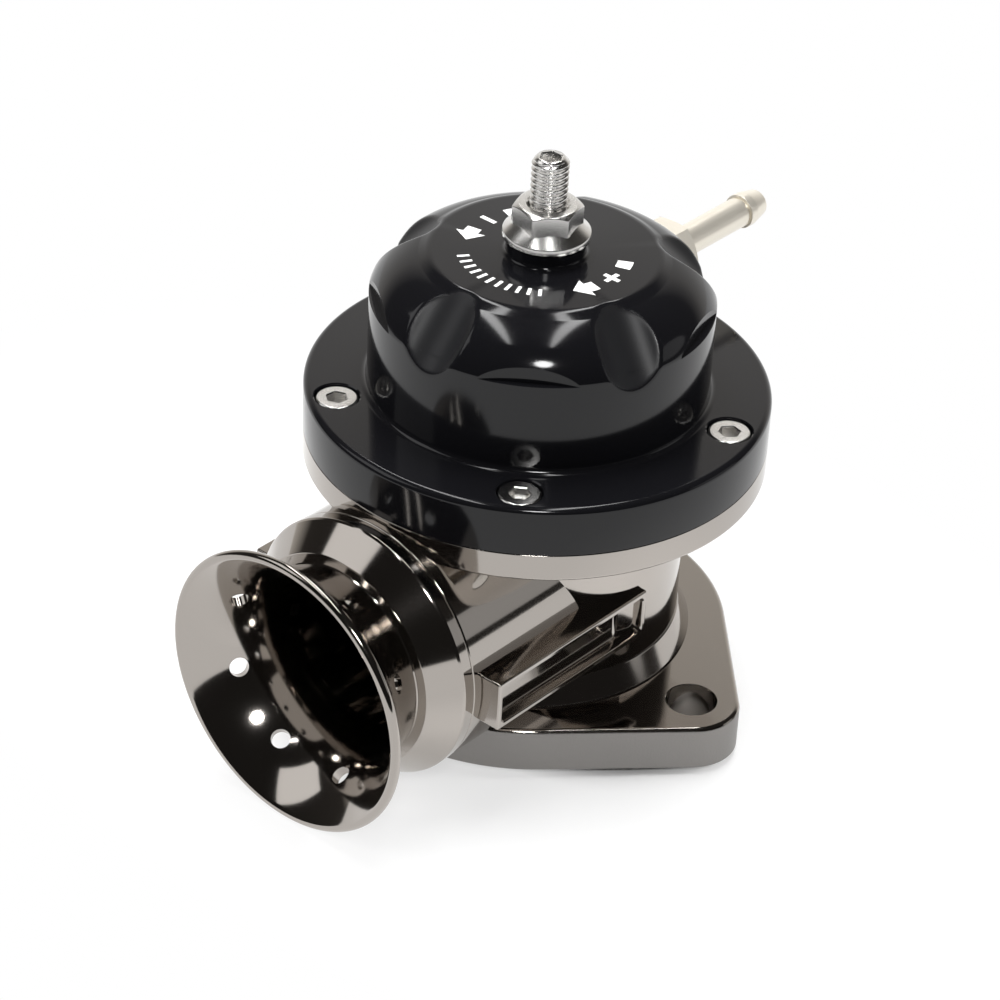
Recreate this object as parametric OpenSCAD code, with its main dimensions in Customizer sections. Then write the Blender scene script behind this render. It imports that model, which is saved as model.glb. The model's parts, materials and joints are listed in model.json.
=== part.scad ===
// Blow off valve: flanged body with a drilled side trumpet, a scalloped spring cover and a diaphragm valve.
// The origin is the centre of the inlet flange's face. +Z runs up the valve's axis, the trumpet points along -X.

/* [Inlet flange] */
// Thickness of the inlet flange
flange_t = 8; // [7:0.5:11]
// Radius of the flange's round middle
flange_r = 34; // [31:0.5:38]
// Distance between the two bolt holes
bolt_spacing = 72.4; // [66:0.2:80]
// Radius of each ear's round end
ear_r = 8; // [6.5:0.5:10]
// Diameter of the bolt holes
bolt_d = 8.4; // [6.4:0.2:9]
// Radius of the inlet bore
inlet_r = 15; // [12:0.5:16]
// Middle radius of the flange's O-ring
flange_ring_r = 20.6; // [20:0.2:23]
// Section diameter of the flange's O-ring
flange_ring_d = 2.2; // [1.6:0.2:3]

/* [Body] */
// Outer radius of the upright neck
neck_r = 25.5; // [25:0.5:29]
// Radius of the foot where the neck meets the flange
foot_r = 27.7; // [26.5:0.1:31]
// Height of the foot above the flange
foot_h = 4.4; // [3:0.2:6]
// Round of the foot's upper edge
foot_round = 1.7; // [0.5:0.1:2]
// Height of the joint face between body and cover
body_h = 45.2; // [44.5:0.2:50]
// Thickness of the body's upper flange
top_flange_t = 4.8; // [4:0.2:7]
// Round of the upper flange's lower edge
top_flange_round = 0.6; // [0.3:0.1:1.5]
// Fillet under the upper flange
top_fillet = 2.4; // [1:0.2:4]
// Radius of the valve chamber
chamber_r = 21.5; // [20.5:0.5:22.5]
// Depth of the chamber's floor below the flange's top
floor_drop = 1; // [0.5:0.1:2]
// Thickness of the wall over the chamber
partition_t = 2.2; // [1.6:0.2:3]

/* [Outlet tube] */
// Metal left between the outlet tube's top and the joint face
joint_land = 1.5; // [1:0.1:3]
// Wall of the outlet tube round its bore
tube_wall = 8.1; // [7:0.1:9]
// Step from the outlet's bore to the chamber's floor and ceiling
bore_step = 0.2; // [0.1:0.1:1]
// Distance from the valve's axis to the outlet's end face
tube_len = 38.7; // [38:0.1:46]
// Distance that the outlet's bore stops short of the guide boss
bore_stop = 2; // [1:0.5:4]

/* [Side ribs] */
// Distance from the middle to each rib's outer face
rib_y = 26.6; // [25.8:0.1:30]
// Height of the ribs
rib_h = 8.8; // [6:0.2:12]
// Distance from the outlet's end face to the ribs' front
rib_setback = 1; // [0.5:0.1:3]
// Distance from the valve's axis to the ribs' back
rib_back = 1.4; // [0.5:0.1:6]
// Thickness of the rim left round each rib's pocket
rib_rim = 1; // [0.8:0.1:2.5]
// Depth of each rib's pocket
pocket_depth = 2.2; // [1:0.1:3]
// Corner radius of the pockets
pocket_round = 1.2; // [0.5:0.1:2]

/* [Trumpet] */
// Distance from the outlet's end face to the mouth
trumpet_len = 20; // [18:0.1:26]
// How much wider in radius the mouth is than the bore
mouth_flare = 8.75; // [7:0.05:12]
// Wall of the flare
flare_wall = 1.7; // [1.2:0.1:2.2]
// Distance from the end face to where the flare starts
flare_start = 1.3; // [0.5:0.1:3]
// Height that the collar stands over the outlet tube
collar_lip = 0.1; // [0.1:0.1:1]
// Length of the collar
collar_len = 2.5; // [1.5:0.1:4]
// Bevel of the collar's edge
collar_edge = 0.4; // [0.2:0.1:0.8]
// Wall at the foot of the collar's cone
cone_foot_wall = 4.2; // [3.6:0.1:5]
// Length of the collar's cone
cone_len = 4.4; // [3:0.1:6]
// Number of holes round the flare
sound_holes = 8; // [4:1:12]
// Diameter of the flare's holes
sound_hole_d = 3.2; // [2:0.1:4]
// Distance from the mouth to the ring of holes
sound_hole_inset = 6.6; // [6:0.1:9]
// Wall of the spigot round the bore
spigot_wall = 3.6; // [3:0.1:4.4]
// Length of the spigot
spigot_len = 8; // [6:0.5:10]
// Section diameter of the spigot's O-ring
spigot_ring_d = 1.5; // [1.2:0.1:1.8]

/* [Cover] */
// Outer radius of the cover's rim, shared with the body's upper flange
rim_r = 38; // [37:0.5:42]
// Thickness of the cover's rim
rim_t = 8.5; // [7.5:0.1:12]
// Round of the rim's upper edge
rim_round = 1.1; // [0.5:0.1:2]
// Width of the rim round the dome
rim_ledge = 10.2; // [9.4:0.1:12]
// Height of the dome's upright wall
dome_wall_h = 16; // [15:0.2:18]
// Height of the dome's flat top above the rim
dome_h = 24; // [23:0.2:28]
// Radius of the dome's shoulder in section
shoulder_r = 10.95; // [9:0.05:12]
// Height of the flat top above the shoulder
plateau_step = 0.55; // [0.2:0.05:1.2]
// Distance from the dome's wall to the flat top
plateau_inset = 9.8; // [8.8:0.1:11]
// Fillet at the dome's foot
dome_fillet = 1.1; // [0.5:0.1:2]
// Radius of the hub on the top
hub_r = 6.35; // [5.6:0.05:7]
// Height of the hub
hub_h = 2.8; // [2.2:0.1:6]
// Wall of the dome round the cover's cavity
dome_wall = 3.4; // [2.8:0.1:5]
// Thickness of the cover over the cavity
crown_t = 4.2; // [3.5:0.1:5.5]
// Slope of the cavity's upper corner
cavity_bevel = 8.6; // [6:0.1:11]

/* [Scallops] */
// Number of scallops round the dome
scallops = 5; // [4:1:8]
// Radius of each scallop's cutter
scallop_r = 7.5; // [6:0.1:9]
// Height above the rim where a scallop leaves the wall
scallop_low_h = 13.5; // [12:0.1:15]
// Distance from the dome's wall to where a scallop leaves the shoulder
scallop_reach = 8.8; // [7:0.1:9.6]
// Direction of the first scallop
scallop_turn = 36; // [0:1:89]

/* [Cover screws] */
// Number of cover screws
cover_screws_n = 5; // [4:1:6]
// Depth of the flat that clears the shoulder over each cover screw
screw_flat = 1.15; // [0.6:0.05:2]
// Height above the rim where those flats start
screw_flat_h = 15.7; // [14.5:0.1:17]
// Distance from the rim's edge to the circle of cover screws
screw_inset = 4.9; // [4.1:0.1:5]
// Thread diameter of the cover screws
screw_d = 4; // [3:0.5:4]
// Head diameter of the cover screws
screw_head_d = 7; // [6:0.1:7]
// Head height of the cover screws
screw_head_h = 3.8; // [3:0.1:4]
// Width across flats of the cover screws' sockets
screw_socket = 3; // [2.5:0.5:3]
// Depth of the screw heads below the rim's top
screw_sink = 0.25; // [0.1:0.05:0.8]

/* [Adjuster] */
// Thread diameter of the adjusting screw
adjuster_d = 6; // [5:0.5:6.5]
// Height of the adjusting screw above the hub
adjuster_proud = 14; // [11:0.5:20]
// Width across flats of the adjusting screw's socket
adjuster_socket = 3; // [2.5:0.5:3]
// Width across flats of the lock nut
nut_flats = 10; // [9:0.5:11]
// Height of the lock nut
nut_h = 5.8; // [5:0.1:7]
// Diameter of the lock nut's flange
nut_flange_d = 14.2; // [12.6:0.1:15]
// Thickness of the lock nut's flange at its edge
nut_flange_t = 1.2; // [0.8:0.1:1.8]
// Direction that one face of the nut looks in
nut_turn = 16; // [0:1:59]
// Section diameter of the adjusting screw's O-ring
adjuster_ring_d = 1.75; // [1.4:0.05:2]

/* [Vacuum nipple] */
// Height of the nipple's axis above the rim
nipple_h = 11; // [9.5:0.1:11.6]
// Diameter of the nipple's thread
nipple_thread_d = 8; // [6:0.5:9]
// Length of the nipple's thread
nipple_thread_len = 7; // [5:0.5:7.5]
// Depth of the flat seat cut into the dome's wall
nipple_seat_depth = 0.9; // [0.8:0.1:1.4]
// Width across flats of the nipple's hexagon
nipple_flats = 10; // [9:0.5:11]
// Thickness of the nipple's hexagon
nipple_hex_t = 5.5; // [3:0.1:6]
// Outer diameter of the nipple's tube
nipple_tube_d = 5.2; // [4:0.1:6]
// Length of the nipple's tube behind the barb
nipple_tube_len = 17.6; // [12:0.1:22]
// Largest diameter of the barb
barb_d = 6; // [5.6:0.1:7.5]
// Length of the barb's straight land
barb_land = 1.6; // [1:0.1:3]
// Length of the barb
barb_len = 4.9; // [4:0.1:9]
// Diameter of the nipple's tip
tip_d = 4.6; // [3.6:0.1:5]
// Diameter of the nipple's bore
nipple_bore_d = 3; // [2:0.1:3.4]
// Thickness of the nipple's sealing washer
nipple_washer_t = 1.2; // [0.8:0.1:2]
// Diameter of the nipple's sealing washer
nipple_washer_d = 12; // [11:0.1:13]

/* [Valve] */
// Radius of the seat's sealing lip
seat_lip_r = 16.4; // [16:0.1:16.8]
// Outer radius of the seat ring
seat_r = 18; // [17.4:0.1:19]
// Height of the seat's lip above the chamber's floor
seat_h = 2; // [1.5:0.1:3]
// Depth of the seat ring below the chamber's floor
seat_depth = 2.5; // [1.5:0.1:3]
// Radius of the valve head
head_r = 18.5; // [18:0.1:19.5]
// Thickness of the valve head
head_t = 3; // [2.4:0.1:4]
// Height of the boss on the valve head
head_boss_h = 3.5; // [2:0.1:4]
// Radius of the boss on the valve head
head_boss_r = 6.5; // [5:0.1:7]
// Inner radius of the valve head's rubber ring
seal_in_r = 14.3; // [13:0.1:15]
// Outer radius of the valve head's rubber ring
seal_out_r = 17.6; // [17.2:0.1:17.8]
// Thickness of the valve head's rubber ring
seal_t = 1.6; // [1.2:0.1:2.2]
// How far the rubber ring stands out of the head
seal_proud = 0.5; // [0.3:0.1:0.9]
// Diameter of the stem in its guide
stem_d = 8; // [7:0.1:9]
// Diameter of the stem's threaded ends
stem_end_d = 6; // [5:0.1:6.4]
// Length of the stem above its nut
stem_proud = 1; // [0.5:0.1:2]
// Outer diameter of the guide bush
bush_d = 12; // [11:0.1:13]
// Length of the guide bush
bush_len = 8; // [5:0.5:9]
// Outer diameter of the body's guide boss
guide_boss_d = 17; // [15:0.1:19]
// Section diameter of the stem's O-ring
stem_ring_d = 1.85; // [1.4:0.05:1.95]

/* [Diaphragm and spring] */
// Thickness of the diaphragm
diaphragm_t = 1.2; // [0.8:0.1:1.6]
// Distance from the cover screws to the diaphragm's edge
diaphragm_inset = 1.3; // [0.8:0.1:2]
// How far the diaphragm's clamped rim lies outside the cavity's wall
clamp_inset = 1.2; // [0.8:0.1:2]
// Width of the diaphragm's free part inside the cavity's wall
roll_w = 5.8; // [4.4:0.1:6.4]
// Distance from the diaphragm's free part to the plates' edge
plate_inset = 1.6; // [1:0.1:3]
// Room round the diaphragm's free part at the bottom of its well
well_gap = 3.2; // [2:0.1:4]
// Room round the diaphragm's free part at the top of its well
well_lip = 0.6; // [0.3:0.1:1]
// Thickness of the lower plate
lower_plate_t = 1.2; // [1:0.1:2]
// Thickness of the upper plate
upper_plate_t = 1.5; // [1:0.1:2]
// Height of the ring that centres the spring
spring_ring_h = 1.5; // [1:0.1:2.5]
// Middle radius of the spring
spring_r = 11; // [10.5:0.1:11.6]
// Wire diameter of the spring
wire_d = 2; // [1.6:0.1:2.4]
// Number of turns of the spring
spring_turns = 5.5; // [4.5:0.5:7]
// Radius of the spring's upper seat
spring_seat_r = 13.5; // [13:0.1:15]
// Thickness of the spring's upper seat
spring_seat_t = 2.5; // [2:0.1:4]
// Distance from the cavity's ceiling to the top of the spring's seat
spring_seat_drop = 5.5; // [4:0.1:8]
// Height of the socket on the spring's seat
seat_socket_h = 1.6; // [1:0.1:2.5]
// Thickness of the stem's washer
stem_washer_t = 0.8; // [0.5:0.1:1.4]
// Width of the stem's washer round its hole
stem_washer_w = 2.6; // [2:0.1:4]
// Height of the stem's nut
stem_nut_h = 4.5; // [3:0.1:5]
// How much wider the stem's nut is across flats than the stem's end
stem_nut_wall = 4; // [3:0.1:5]

/* [Clearances] */
// Radial clearance of a running fit
run_gap = 0.04; // [0.02:0.01:0.09]
// Radial clearance of a fixed fit
fit_gap = 0.02; // [0.01:0.01:0.04]
// Clearance round a soft ring in its groove
ring_gap = 0.06; // [0.04:0.01:0.1]
// Clearance between the closed valve and its seat
close_gap = 0.02; // [0.01:0.01:0.1]
// Clearance under the lower plate when the valve is closed
plate_gap = 0.4; // [0.3:0.1:1]
// Radial clearance of the screws in the cover
screw_gap = 0.2; // [0.1:0.05:0.3]
// Radial clearance of the stem in the body below its bush
stem_gap = 0.5; // [0.3:0.1:1]

/* [Hidden] */
$fn = 96;

// Room that a cutter reaches past the face it opens
over = 1;

// Heights inside the body
floor_z = flange_t - floor_drop;
seat_top_z = floor_z + seat_h;
bore_r = (body_h - joint_land - tube_wall - bore_step - floor_z) / 2;
tube_r = bore_r + tube_wall;
tube_z = floor_z + bore_step + bore_r;
ceiling_z = tube_z + bore_r + bore_step;
partition_z = ceiling_z + partition_t;
rim_top_z = body_h + rim_t;

// Radii that follow the bore
mouth_r = bore_r + mouth_flare;
collar_r = tube_r + collar_lip;
cone_foot_r = bore_r + cone_foot_wall;
spigot_r = bore_r + spigot_wall;

// Radii that follow the rim
screw_circle_r = rim_r - screw_inset;
dome_r = rim_r - rim_ledge;
cavity_r = dome_r - dome_wall;
plateau_r = dome_r - plateau_inset;
scallop_high_r = dome_r - scallop_reach;
diaphragm_r = screw_circle_r - screw_d / 2 - diaphragm_inset;
diaphragm_rim_r = cavity_r + clamp_inset;
diaphragm_flat_r = cavity_r - roll_w;
plate_r = diaphragm_flat_r - plate_inset;

// Heights of the valve and its plates
seal_z = seat_top_z + close_gap;
head_z = seal_z + seal_proud;
head_top_z = head_z + head_t + head_boss_h;
lower_plate_z = partition_z + plate_gap;
diaphragm_z = lower_plate_z + lower_plate_t;
upper_plate_z = diaphragm_z + diaphragm_t;
plate_top_z = upper_plate_z + upper_plate_t;
stem_nut_z = plate_top_z + stem_washer_t;
stem_top_z = stem_nut_z + stem_nut_h + stem_proud;

// Heights of the cover and what hangs in it
cavity_top_z = rim_top_z + dome_h - crown_t;
hub_top_z = rim_top_z + dome_h + hub_h;
spring_seat_z = cavity_top_z - spring_seat_drop - spring_seat_t;
spring_seat_top_z = spring_seat_z + spring_seat_t;
adjuster_z = spring_seat_top_z + close_gap;
adjuster_top_z = hub_top_z + adjuster_proud;

// The shoulder's arc ends level and starts where the dome's wall stops
shoulder_h = dome_h - plateau_step - shoulder_r;
shoulder_c = dome_r - sqrt(pow(shoulder_r, 2) - pow(dome_wall_h - shoulder_h, 2));

// A scallop's deepest line runs from the wall to the shoulder
scallop_high_h = shoulder_h + sqrt(pow(shoulder_r, 2) - pow(scallop_high_r - shoulder_c, 2));
scallop_tilt = atan2(dome_r - scallop_high_r, scallop_high_h - scallop_low_h);

// The flare is an arc from the throat to the mouth
flare_rise = mouth_r - bore_r;
flare_run = trumpet_len - flare_start;
flare_arc_r = (pow(flare_run, 2) + pow(flare_rise, 2)) / (2 * flare_rise);
flare_arc_c = bore_r + flare_arc_r;
flare_angle = asin(flare_run / flare_arc_r);
hole_angle = asin((flare_run - sound_hole_inset) / flare_arc_r);
hole_start = 180 / sound_holes;

// Rings and grooves
spigot_groove_r = spigot_r - spigot_ring_d + ring_gap;
groove_spare = 0.5;
bush_z = partition_z - stem_ring_d - bush_len;
bush_lip = 1;
adjuster_ring_z = hub_top_z - hub_h;
adjuster_groove_r = adjuster_d / 2 + 2 * ring_gap + adjuster_ring_d;

// Nipple along +X
nipple_z = rim_top_z + nipple_h;
nipple_seat_x = dome_r - nipple_seat_depth;
nipple_hex_x = nipple_seat_x + nipple_washer_t;
nipple_tube_x = nipple_hex_x + nipple_hex_t;
barb_x = nipple_tube_x + nipple_tube_len;
nipple_tip_x = barb_x + barb_len;
nipple_boss_wall = 2.4;

// Screw that holds the valve head to the stem
head_screw_d = 3;
head_screw_len = 6;
head_screw_head_r = 5;
head_screw_head_h = 2.2;
head_screw_socket = 2.5;

// Colours of the finishes
gunmetal = [0.36, 0.35, 0.34];
gloss_black = [0.06, 0.06, 0.07];
stainless = [0.78, 0.78, 0.76];
nickel = [0.80, 0.76, 0.68];
alloy = [0.70, 0.71, 0.72];
bronze = [0.66, 0.50, 0.30];
rubber = [0.12, 0.12, 0.12];
copper = [0.72, 0.45, 0.32];

// Concave corner fillet in section, reaching along +X and +Y from the corner
module corner_fillet(r) {
    difference() {
        square([r, r]);
        translate([r, r]) circle(r);
    }
}

// Disc in section with its upper outer edge rounded
module rounded_disc(r, h, edge) {
    square([r - edge, h]);
    square([r, h - edge]);
    translate([r - edge, h - edge])
        intersection() {
            circle(edge);
            translate([-edge, 0]) square([2 * edge, edge]);
        }
}

// Rectangle with round corners, centred
module rounded_rectangle(w, h, r) {
    square([w, h - 2 * r], center = true);
    square([w - 2 * r, h], center = true);
    for (x = [-1, 1], y = [-1, 1])
        translate([x * (w / 2 - r), y * (h / 2 - r)]) circle(r);
}

// Ring of round section
module o_ring(middle_r, section_d) {
    rotate_extrude() translate([middle_r, 0]) circle(section_d / 2, $fn = 32);
}

// Round ring of rectangular section
module flat_ring(inner_r, outer_r, h) {
    difference() {
        cylinder(r = outer_r, h = h);
        translate([0, 0, -over]) cylinder(r = inner_r, h = h + 2 * over);
    }
}

// Hexagonal prism by its width across flats
module hexagon(flats, h) {
    rotate([0, 0, 30]) cylinder(d = flats / cos(30), h = h, $fn = 6);
}

// Hexagon whose upper corners are turned off
module chamfered_hexagon(flats, h) {
    corner_r = flats / 2 / cos(30);
    drop = (corner_r - flats / 2) * tan(30);
    intersection() {
        hexagon(flats, h);
        rotate_extrude() polygon([[0, 0], [corner_r + over, 0], [corner_r + over, h - drop - over * tan(30)],
            [flats / 2, h], [0, h]]);
    }
}

// Places its children at each cover screw
module at_cover_screws() {
    for (i = [0:cover_screws_n - 1])
        rotate([0, 0, i * 360 / cover_screws_n]) translate([screw_circle_r, 0, 0]) children();
}

// Turns the Z axis to the outlet's axis, from the outlet's end face outwards
module at_outlet() {
    translate([-tube_len, 0, tube_z]) rotate([0, -90, 0]) children();
}

// Turns the Z axis to the nipple's axis, from a distance x outwards
module at_nipple(x) {
    translate([x, 0, nipple_z]) rotate([0, 90, 0]) children();
}

// Outline of the inlet flange: a round middle, two ears and the straight sides that touch them
module flange_outline() {
    reach = bolt_spacing / 2;
    lean = acos((flange_r - ear_r) / reach);
    circle(flange_r);
    for (s = [-1, 1]) {
        translate([0, s * reach]) circle(ear_r);
        polygon([for (m = [-1, 1]) [m * flange_r * sin(lean), s * flange_r * cos(lean)],
            for (m = [1, -1]) [m * ear_r * sin(lean), s * (reach + ear_r * cos(lean))]]);
    }
}

// Neck, foot and upper flange in section
module body_section() {
    square([neck_r, body_h]);
    translate([0, flange_t]) rounded_disc(foot_r, foot_h, foot_round);
    translate([neck_r, flange_t + foot_h]) corner_fillet(foot_r - neck_r - foot_round);
    translate([0, body_h]) mirror([0, 1]) rounded_disc(rim_r, top_flange_t, top_flange_round);
    translate([neck_r, body_h - top_flange_t]) mirror([0, 1]) corner_fillet(top_fillet);
}

// Ribs along both sides of the outlet tube, each with a shallow pocket in its outer face
module side_ribs() {
    rib_len = tube_len - rib_setback - rib_back;
    middle_x = -rib_back - rib_len / 2;
    translate([middle_x, 0, tube_z])
        difference() {
            cube([rib_len, 2 * rib_y, rib_h], center = true);
            for (s = [-1, 1])
                translate([0, s * (rib_y - pocket_depth), 0]) rotate([s * -90, 0, 0])
                    linear_extrude(pocket_depth + over)
                        rounded_rectangle(rib_len - 2 * rib_rim, rib_h - 2 * rib_rim, pocket_round);
        }
}

// Valve chamber with the guide boss left standing in it
module chamber_cut() {
    difference() {
        translate([0, 0, floor_z]) cylinder(r = chamber_r, h = ceiling_z - floor_z);
        translate([0, 0, bush_z - bush_lip]) cylinder(d = guide_boss_d, h = ceiling_z);
    }
}

// Room under the diaphragm, bore of the guide and their steps
module upper_cut() {
    rotate_extrude() polygon([[0, partition_z], [diaphragm_flat_r + well_gap, partition_z],
        [diaphragm_rim_r + well_lip, body_h], [diaphragm_rim_r + well_lip, body_h + over], [0, body_h + over]]);
    translate([0, 0, bush_z]) cylinder(d = bush_d, h = partition_z);
    translate([0, 0, bush_z - bush_lip - over]) cylinder(d = stem_d + 2 * stem_gap, h = partition_z);
}

// Outlet's bore and the wider bore for the trumpet's spigot
module outlet_cut() {
    bore_depth = tube_len - guide_boss_d / 2 - bore_stop;
    at_outlet() {
        translate([0, 0, -bore_depth]) cylinder(r = bore_r, h = bore_depth + over);
        translate([0, 0, -spigot_len]) cylinder(r = spigot_r + fit_gap, h = spigot_len + over);
    }
}

// Inlet bore, seat counterbore and O-ring groove
module inlet_cut() {
    translate([0, 0, -over]) cylinder(r = inlet_r, h = flange_t + over);
    translate([0, 0, floor_z - seat_depth]) cylinder(r = seat_r, h = seat_depth + over);
    translate([0, 0, -over])
        flat_ring(flange_ring_r - flange_ring_d / 2 - groove_spare / 2,
            flange_ring_r + flange_ring_d / 2 + groove_spare / 2, over + flange_ring_d + 2 * ring_gap);
}

module body() {
    color(gunmetal) difference() {
        union() {
            linear_extrude(flange_t) flange_outline();
            rotate_extrude() body_section();
            at_outlet() translate([0, 0, -tube_len]) cylinder(r = tube_r, h = tube_len);
            side_ribs();
        }
        // The flange's face is machined flat
        translate([-2 * rim_r, -2 * rim_r, -rim_r]) cube([4 * rim_r, 4 * rim_r, rim_r]);
        chamber_cut();
        upper_cut();
        outlet_cut();
        inlet_cut();
        for (s = [-1, 1])
            translate([0, s * bolt_spacing / 2, -over]) cylinder(d = bolt_d, h = flange_t + 2 * over);
        at_cover_screws()
            translate([0, 0, body_h - top_flange_t - over])
                cylinder(d = screw_d + 2 * fit_gap, h = top_flange_t + 2 * over);
    }
}

module valve_seat() {
    base_z = floor_z - seat_depth;
    color(stainless) rotate_extrude()
        polygon([[inlet_r, base_z], [seat_r - fit_gap, base_z], [seat_r - fit_gap, floor_z],
            [seat_lip_r, seat_top_z], [inlet_r, seat_top_z]]);
}

module flange_o_ring() {
    color(rubber) translate([0, 0, flange_ring_d / 2 + ring_gap]) o_ring(flange_ring_r, flange_ring_d);
}

module guide_bush() {
    color(bronze) translate([0, 0, bush_z])
        flat_ring(stem_d / 2 + run_gap, bush_d / 2 - fit_gap, bush_len);
}

module guide_seal() {
    section = stem_ring_d - 2 * ring_gap;
    color(rubber) translate([0, 0, bush_z + bush_len + section / 2 + fit_gap])
        o_ring(stem_d / 4 + bush_d / 4, section);
}

// Flared wall in section with a round lip at the mouth
module flare_section() {
    reach = 2 * flare_arc_r;
    intersection() {
        translate([flare_arc_c, flare_start]) difference() {
            circle(flare_arc_r, $fn = 180);
            circle(flare_arc_r - flare_wall, $fn = 180);
        }
        polygon([[flare_arc_c, flare_start], [flare_arc_c - reach, flare_start],
            [flare_arc_c - reach, flare_start + reach * tan(flare_angle / 2)],
            [flare_arc_c - reach * cos(flare_angle), flare_start + reach * sin(flare_angle)]]);
    }
    translate([flare_arc_c - (flare_arc_r - flare_wall / 2) * cos(flare_angle),
        flare_start + (flare_arc_r - flare_wall / 2) * sin(flare_angle)]) circle(flare_wall / 2, $fn = 48);
}

// Spigot, collar and cone of the trumpet in section
module collar_section() {
    throat_edge = flare_arc_c - sqrt(pow(flare_arc_r - flare_wall / 2, 2)
        - pow(collar_len + cone_len - flare_start, 2));
    groove_half = spigot_ring_d / 2 + groove_spare / 2;
    difference() {
        union() {
            translate([bore_r, -spigot_len]) square([spigot_r - bore_r, spigot_len]);
            polygon([[bore_r, 0], [collar_r, 0], [collar_r, collar_len - collar_edge],
                [collar_r - collar_edge, collar_len], [cone_foot_r, collar_len + cone_len],
                [throat_edge, collar_len + cone_len], [bore_r, flare_start]]);
        }
        translate([spigot_groove_r - ring_gap, -spigot_len / 2 - groove_half])
            square([spigot_r, 2 * groove_half]);
    }
}

module trumpet() {
    color(gunmetal) at_outlet()
        difference() {
            rotate_extrude() {
                flare_section();
                collar_section();
            }
            for (i = [0:sound_holes - 1])
                rotate([0, 0, hole_start + i * 360 / sound_holes])
                    translate([flare_arc_c, 0, flare_start]) rotate([0, -90 + hole_angle, 0])
                        translate([0, 0, flare_arc_r - 3 * flare_wall])
                            cylinder(d = sound_hole_d, h = 5 * flare_wall);
        }
}

module trumpet_o_ring() {
    section = spigot_ring_d - 2 * ring_gap;
    color(rubber) at_outlet() translate([0, 0, -spigot_len / 2])
        o_ring(spigot_groove_r + section / 2, section);
}

// Outside of the cover in section, from the joint face up
module cover_section() {
    rounded_disc(rim_r, rim_t, rim_round);
    translate([0, rim_t]) {
        square([dome_r, dome_wall_h]);
        translate([dome_r, 0]) corner_fillet(dome_fillet);
        intersection() {
            translate([shoulder_c, shoulder_h]) circle(shoulder_r, $fn = 180);
            square([dome_r, dome_h]);
        }
        square([shoulder_c, dome_h - plateau_step]);
        square([plateau_r, dome_h]);
        square([hub_r, dome_h + hub_h]);
    }
}

// Spring room inside the cover, with the boss for the nipple left standing in it
module cavity_cut() {
    difference() {
        rotate_extrude() polygon([[0, body_h - over], [cavity_r, body_h - over],
            [cavity_r, cavity_top_z - cavity_bevel], [cavity_r - cavity_bevel, cavity_top_z], [0, cavity_top_z]]);
        at_nipple(nipple_seat_x - nipple_thread_len)
            cylinder(r = nipple_thread_d / 2 + nipple_boss_wall, h = nipple_thread_len);
    }
}

// Cylinders that cut the scallops into the dome's shoulder
module scallop_cut() {
    low = [dome_r, rim_top_z + scallop_low_h];
    outward = scallop_r * [cos(scallop_tilt), sin(scallop_tilt)];
    length = 3 * dome_h;
    for (i = [0:scallops - 1])
        rotate([0, 0, scallop_turn + i * 360 / scallops])
            translate([low[0] + outward[0], 0, low[1] + outward[1]]) rotate([0, -scallop_tilt, 0])
                translate([0, 0, -length / 2]) cylinder(r = scallop_r, h = length);
}

// Upright flats over the cover screws, without the one that sits under the nipple
module flat_cut() {
    for (i = [1:cover_screws_n - 1])
        rotate([0, 0, i * 360 / cover_screws_n])
            translate([dome_r - screw_flat, -dome_r, rim_top_z + screw_flat_h]) cube([dome_r, 2 * dome_r, dome_h]);
}

// Clearance holes and counterbores for the cover screws
module screw_cut() {
    at_cover_screws() {
        translate([0, 0, body_h - over]) cylinder(d = screw_d + 2 * screw_gap, h = rim_t + 2 * over);
        translate([0, 0, rim_top_z - screw_head_h - screw_sink])
            cylinder(d = screw_head_d + 2 * screw_gap, h = screw_head_h + screw_sink + over);
    }
}

// Threaded hole through the hub, with a groove for its O-ring
module hub_cut() {
    translate([0, 0, cavity_top_z - over])
        cylinder(d = adjuster_d + 2 * run_gap, h = crown_t + hub_h + 2 * over);
    translate([0, 0, adjuster_ring_z - adjuster_ring_d / 2 - ring_gap])
        cylinder(r = adjuster_groove_r, h = adjuster_ring_d + 2 * ring_gap);
}

// Threaded hole and flat seat for the nipple
module nipple_cut() {
    at_nipple(nipple_seat_x - nipple_thread_len - over)
        cylinder(d = nipple_thread_d + 2 * fit_gap, h = nipple_thread_len + over + nipple_seat_depth);
    at_nipple(nipple_seat_x) cylinder(d = nipple_washer_d + 1, h = 3 * over);
}

module cover() {
    color(gloss_black) difference() {
        translate([0, 0, body_h]) rotate_extrude() cover_section();
        cavity_cut();
        translate([0, 0, body_h - over]) cylinder(r = diaphragm_r + fit_gap, h = diaphragm_t + over);
        scallop_cut();
        flat_cut();
        screw_cut();
        hub_cut();
        nipple_cut();
    }
}

// Cap screw that hangs from the underside of its head
module cap_screw(shank_len) {
    difference() {
        union() {
            rotate_extrude() rounded_disc(screw_head_d / 2, screw_head_h, 0.4);
            translate([0, 0, -shank_len]) cylinder(d = screw_d, h = shank_len + over);
        }
        translate([0, 0, screw_head_h / 2]) hexagon(screw_socket, screw_head_h);
    }
}

module cover_screws() {
    head_z = rim_top_z - screw_sink - screw_head_h;
    color(stainless) at_cover_screws()
        translate([0, 0, head_z]) cap_screw(head_z - body_h + top_flange_t);
}

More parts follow.
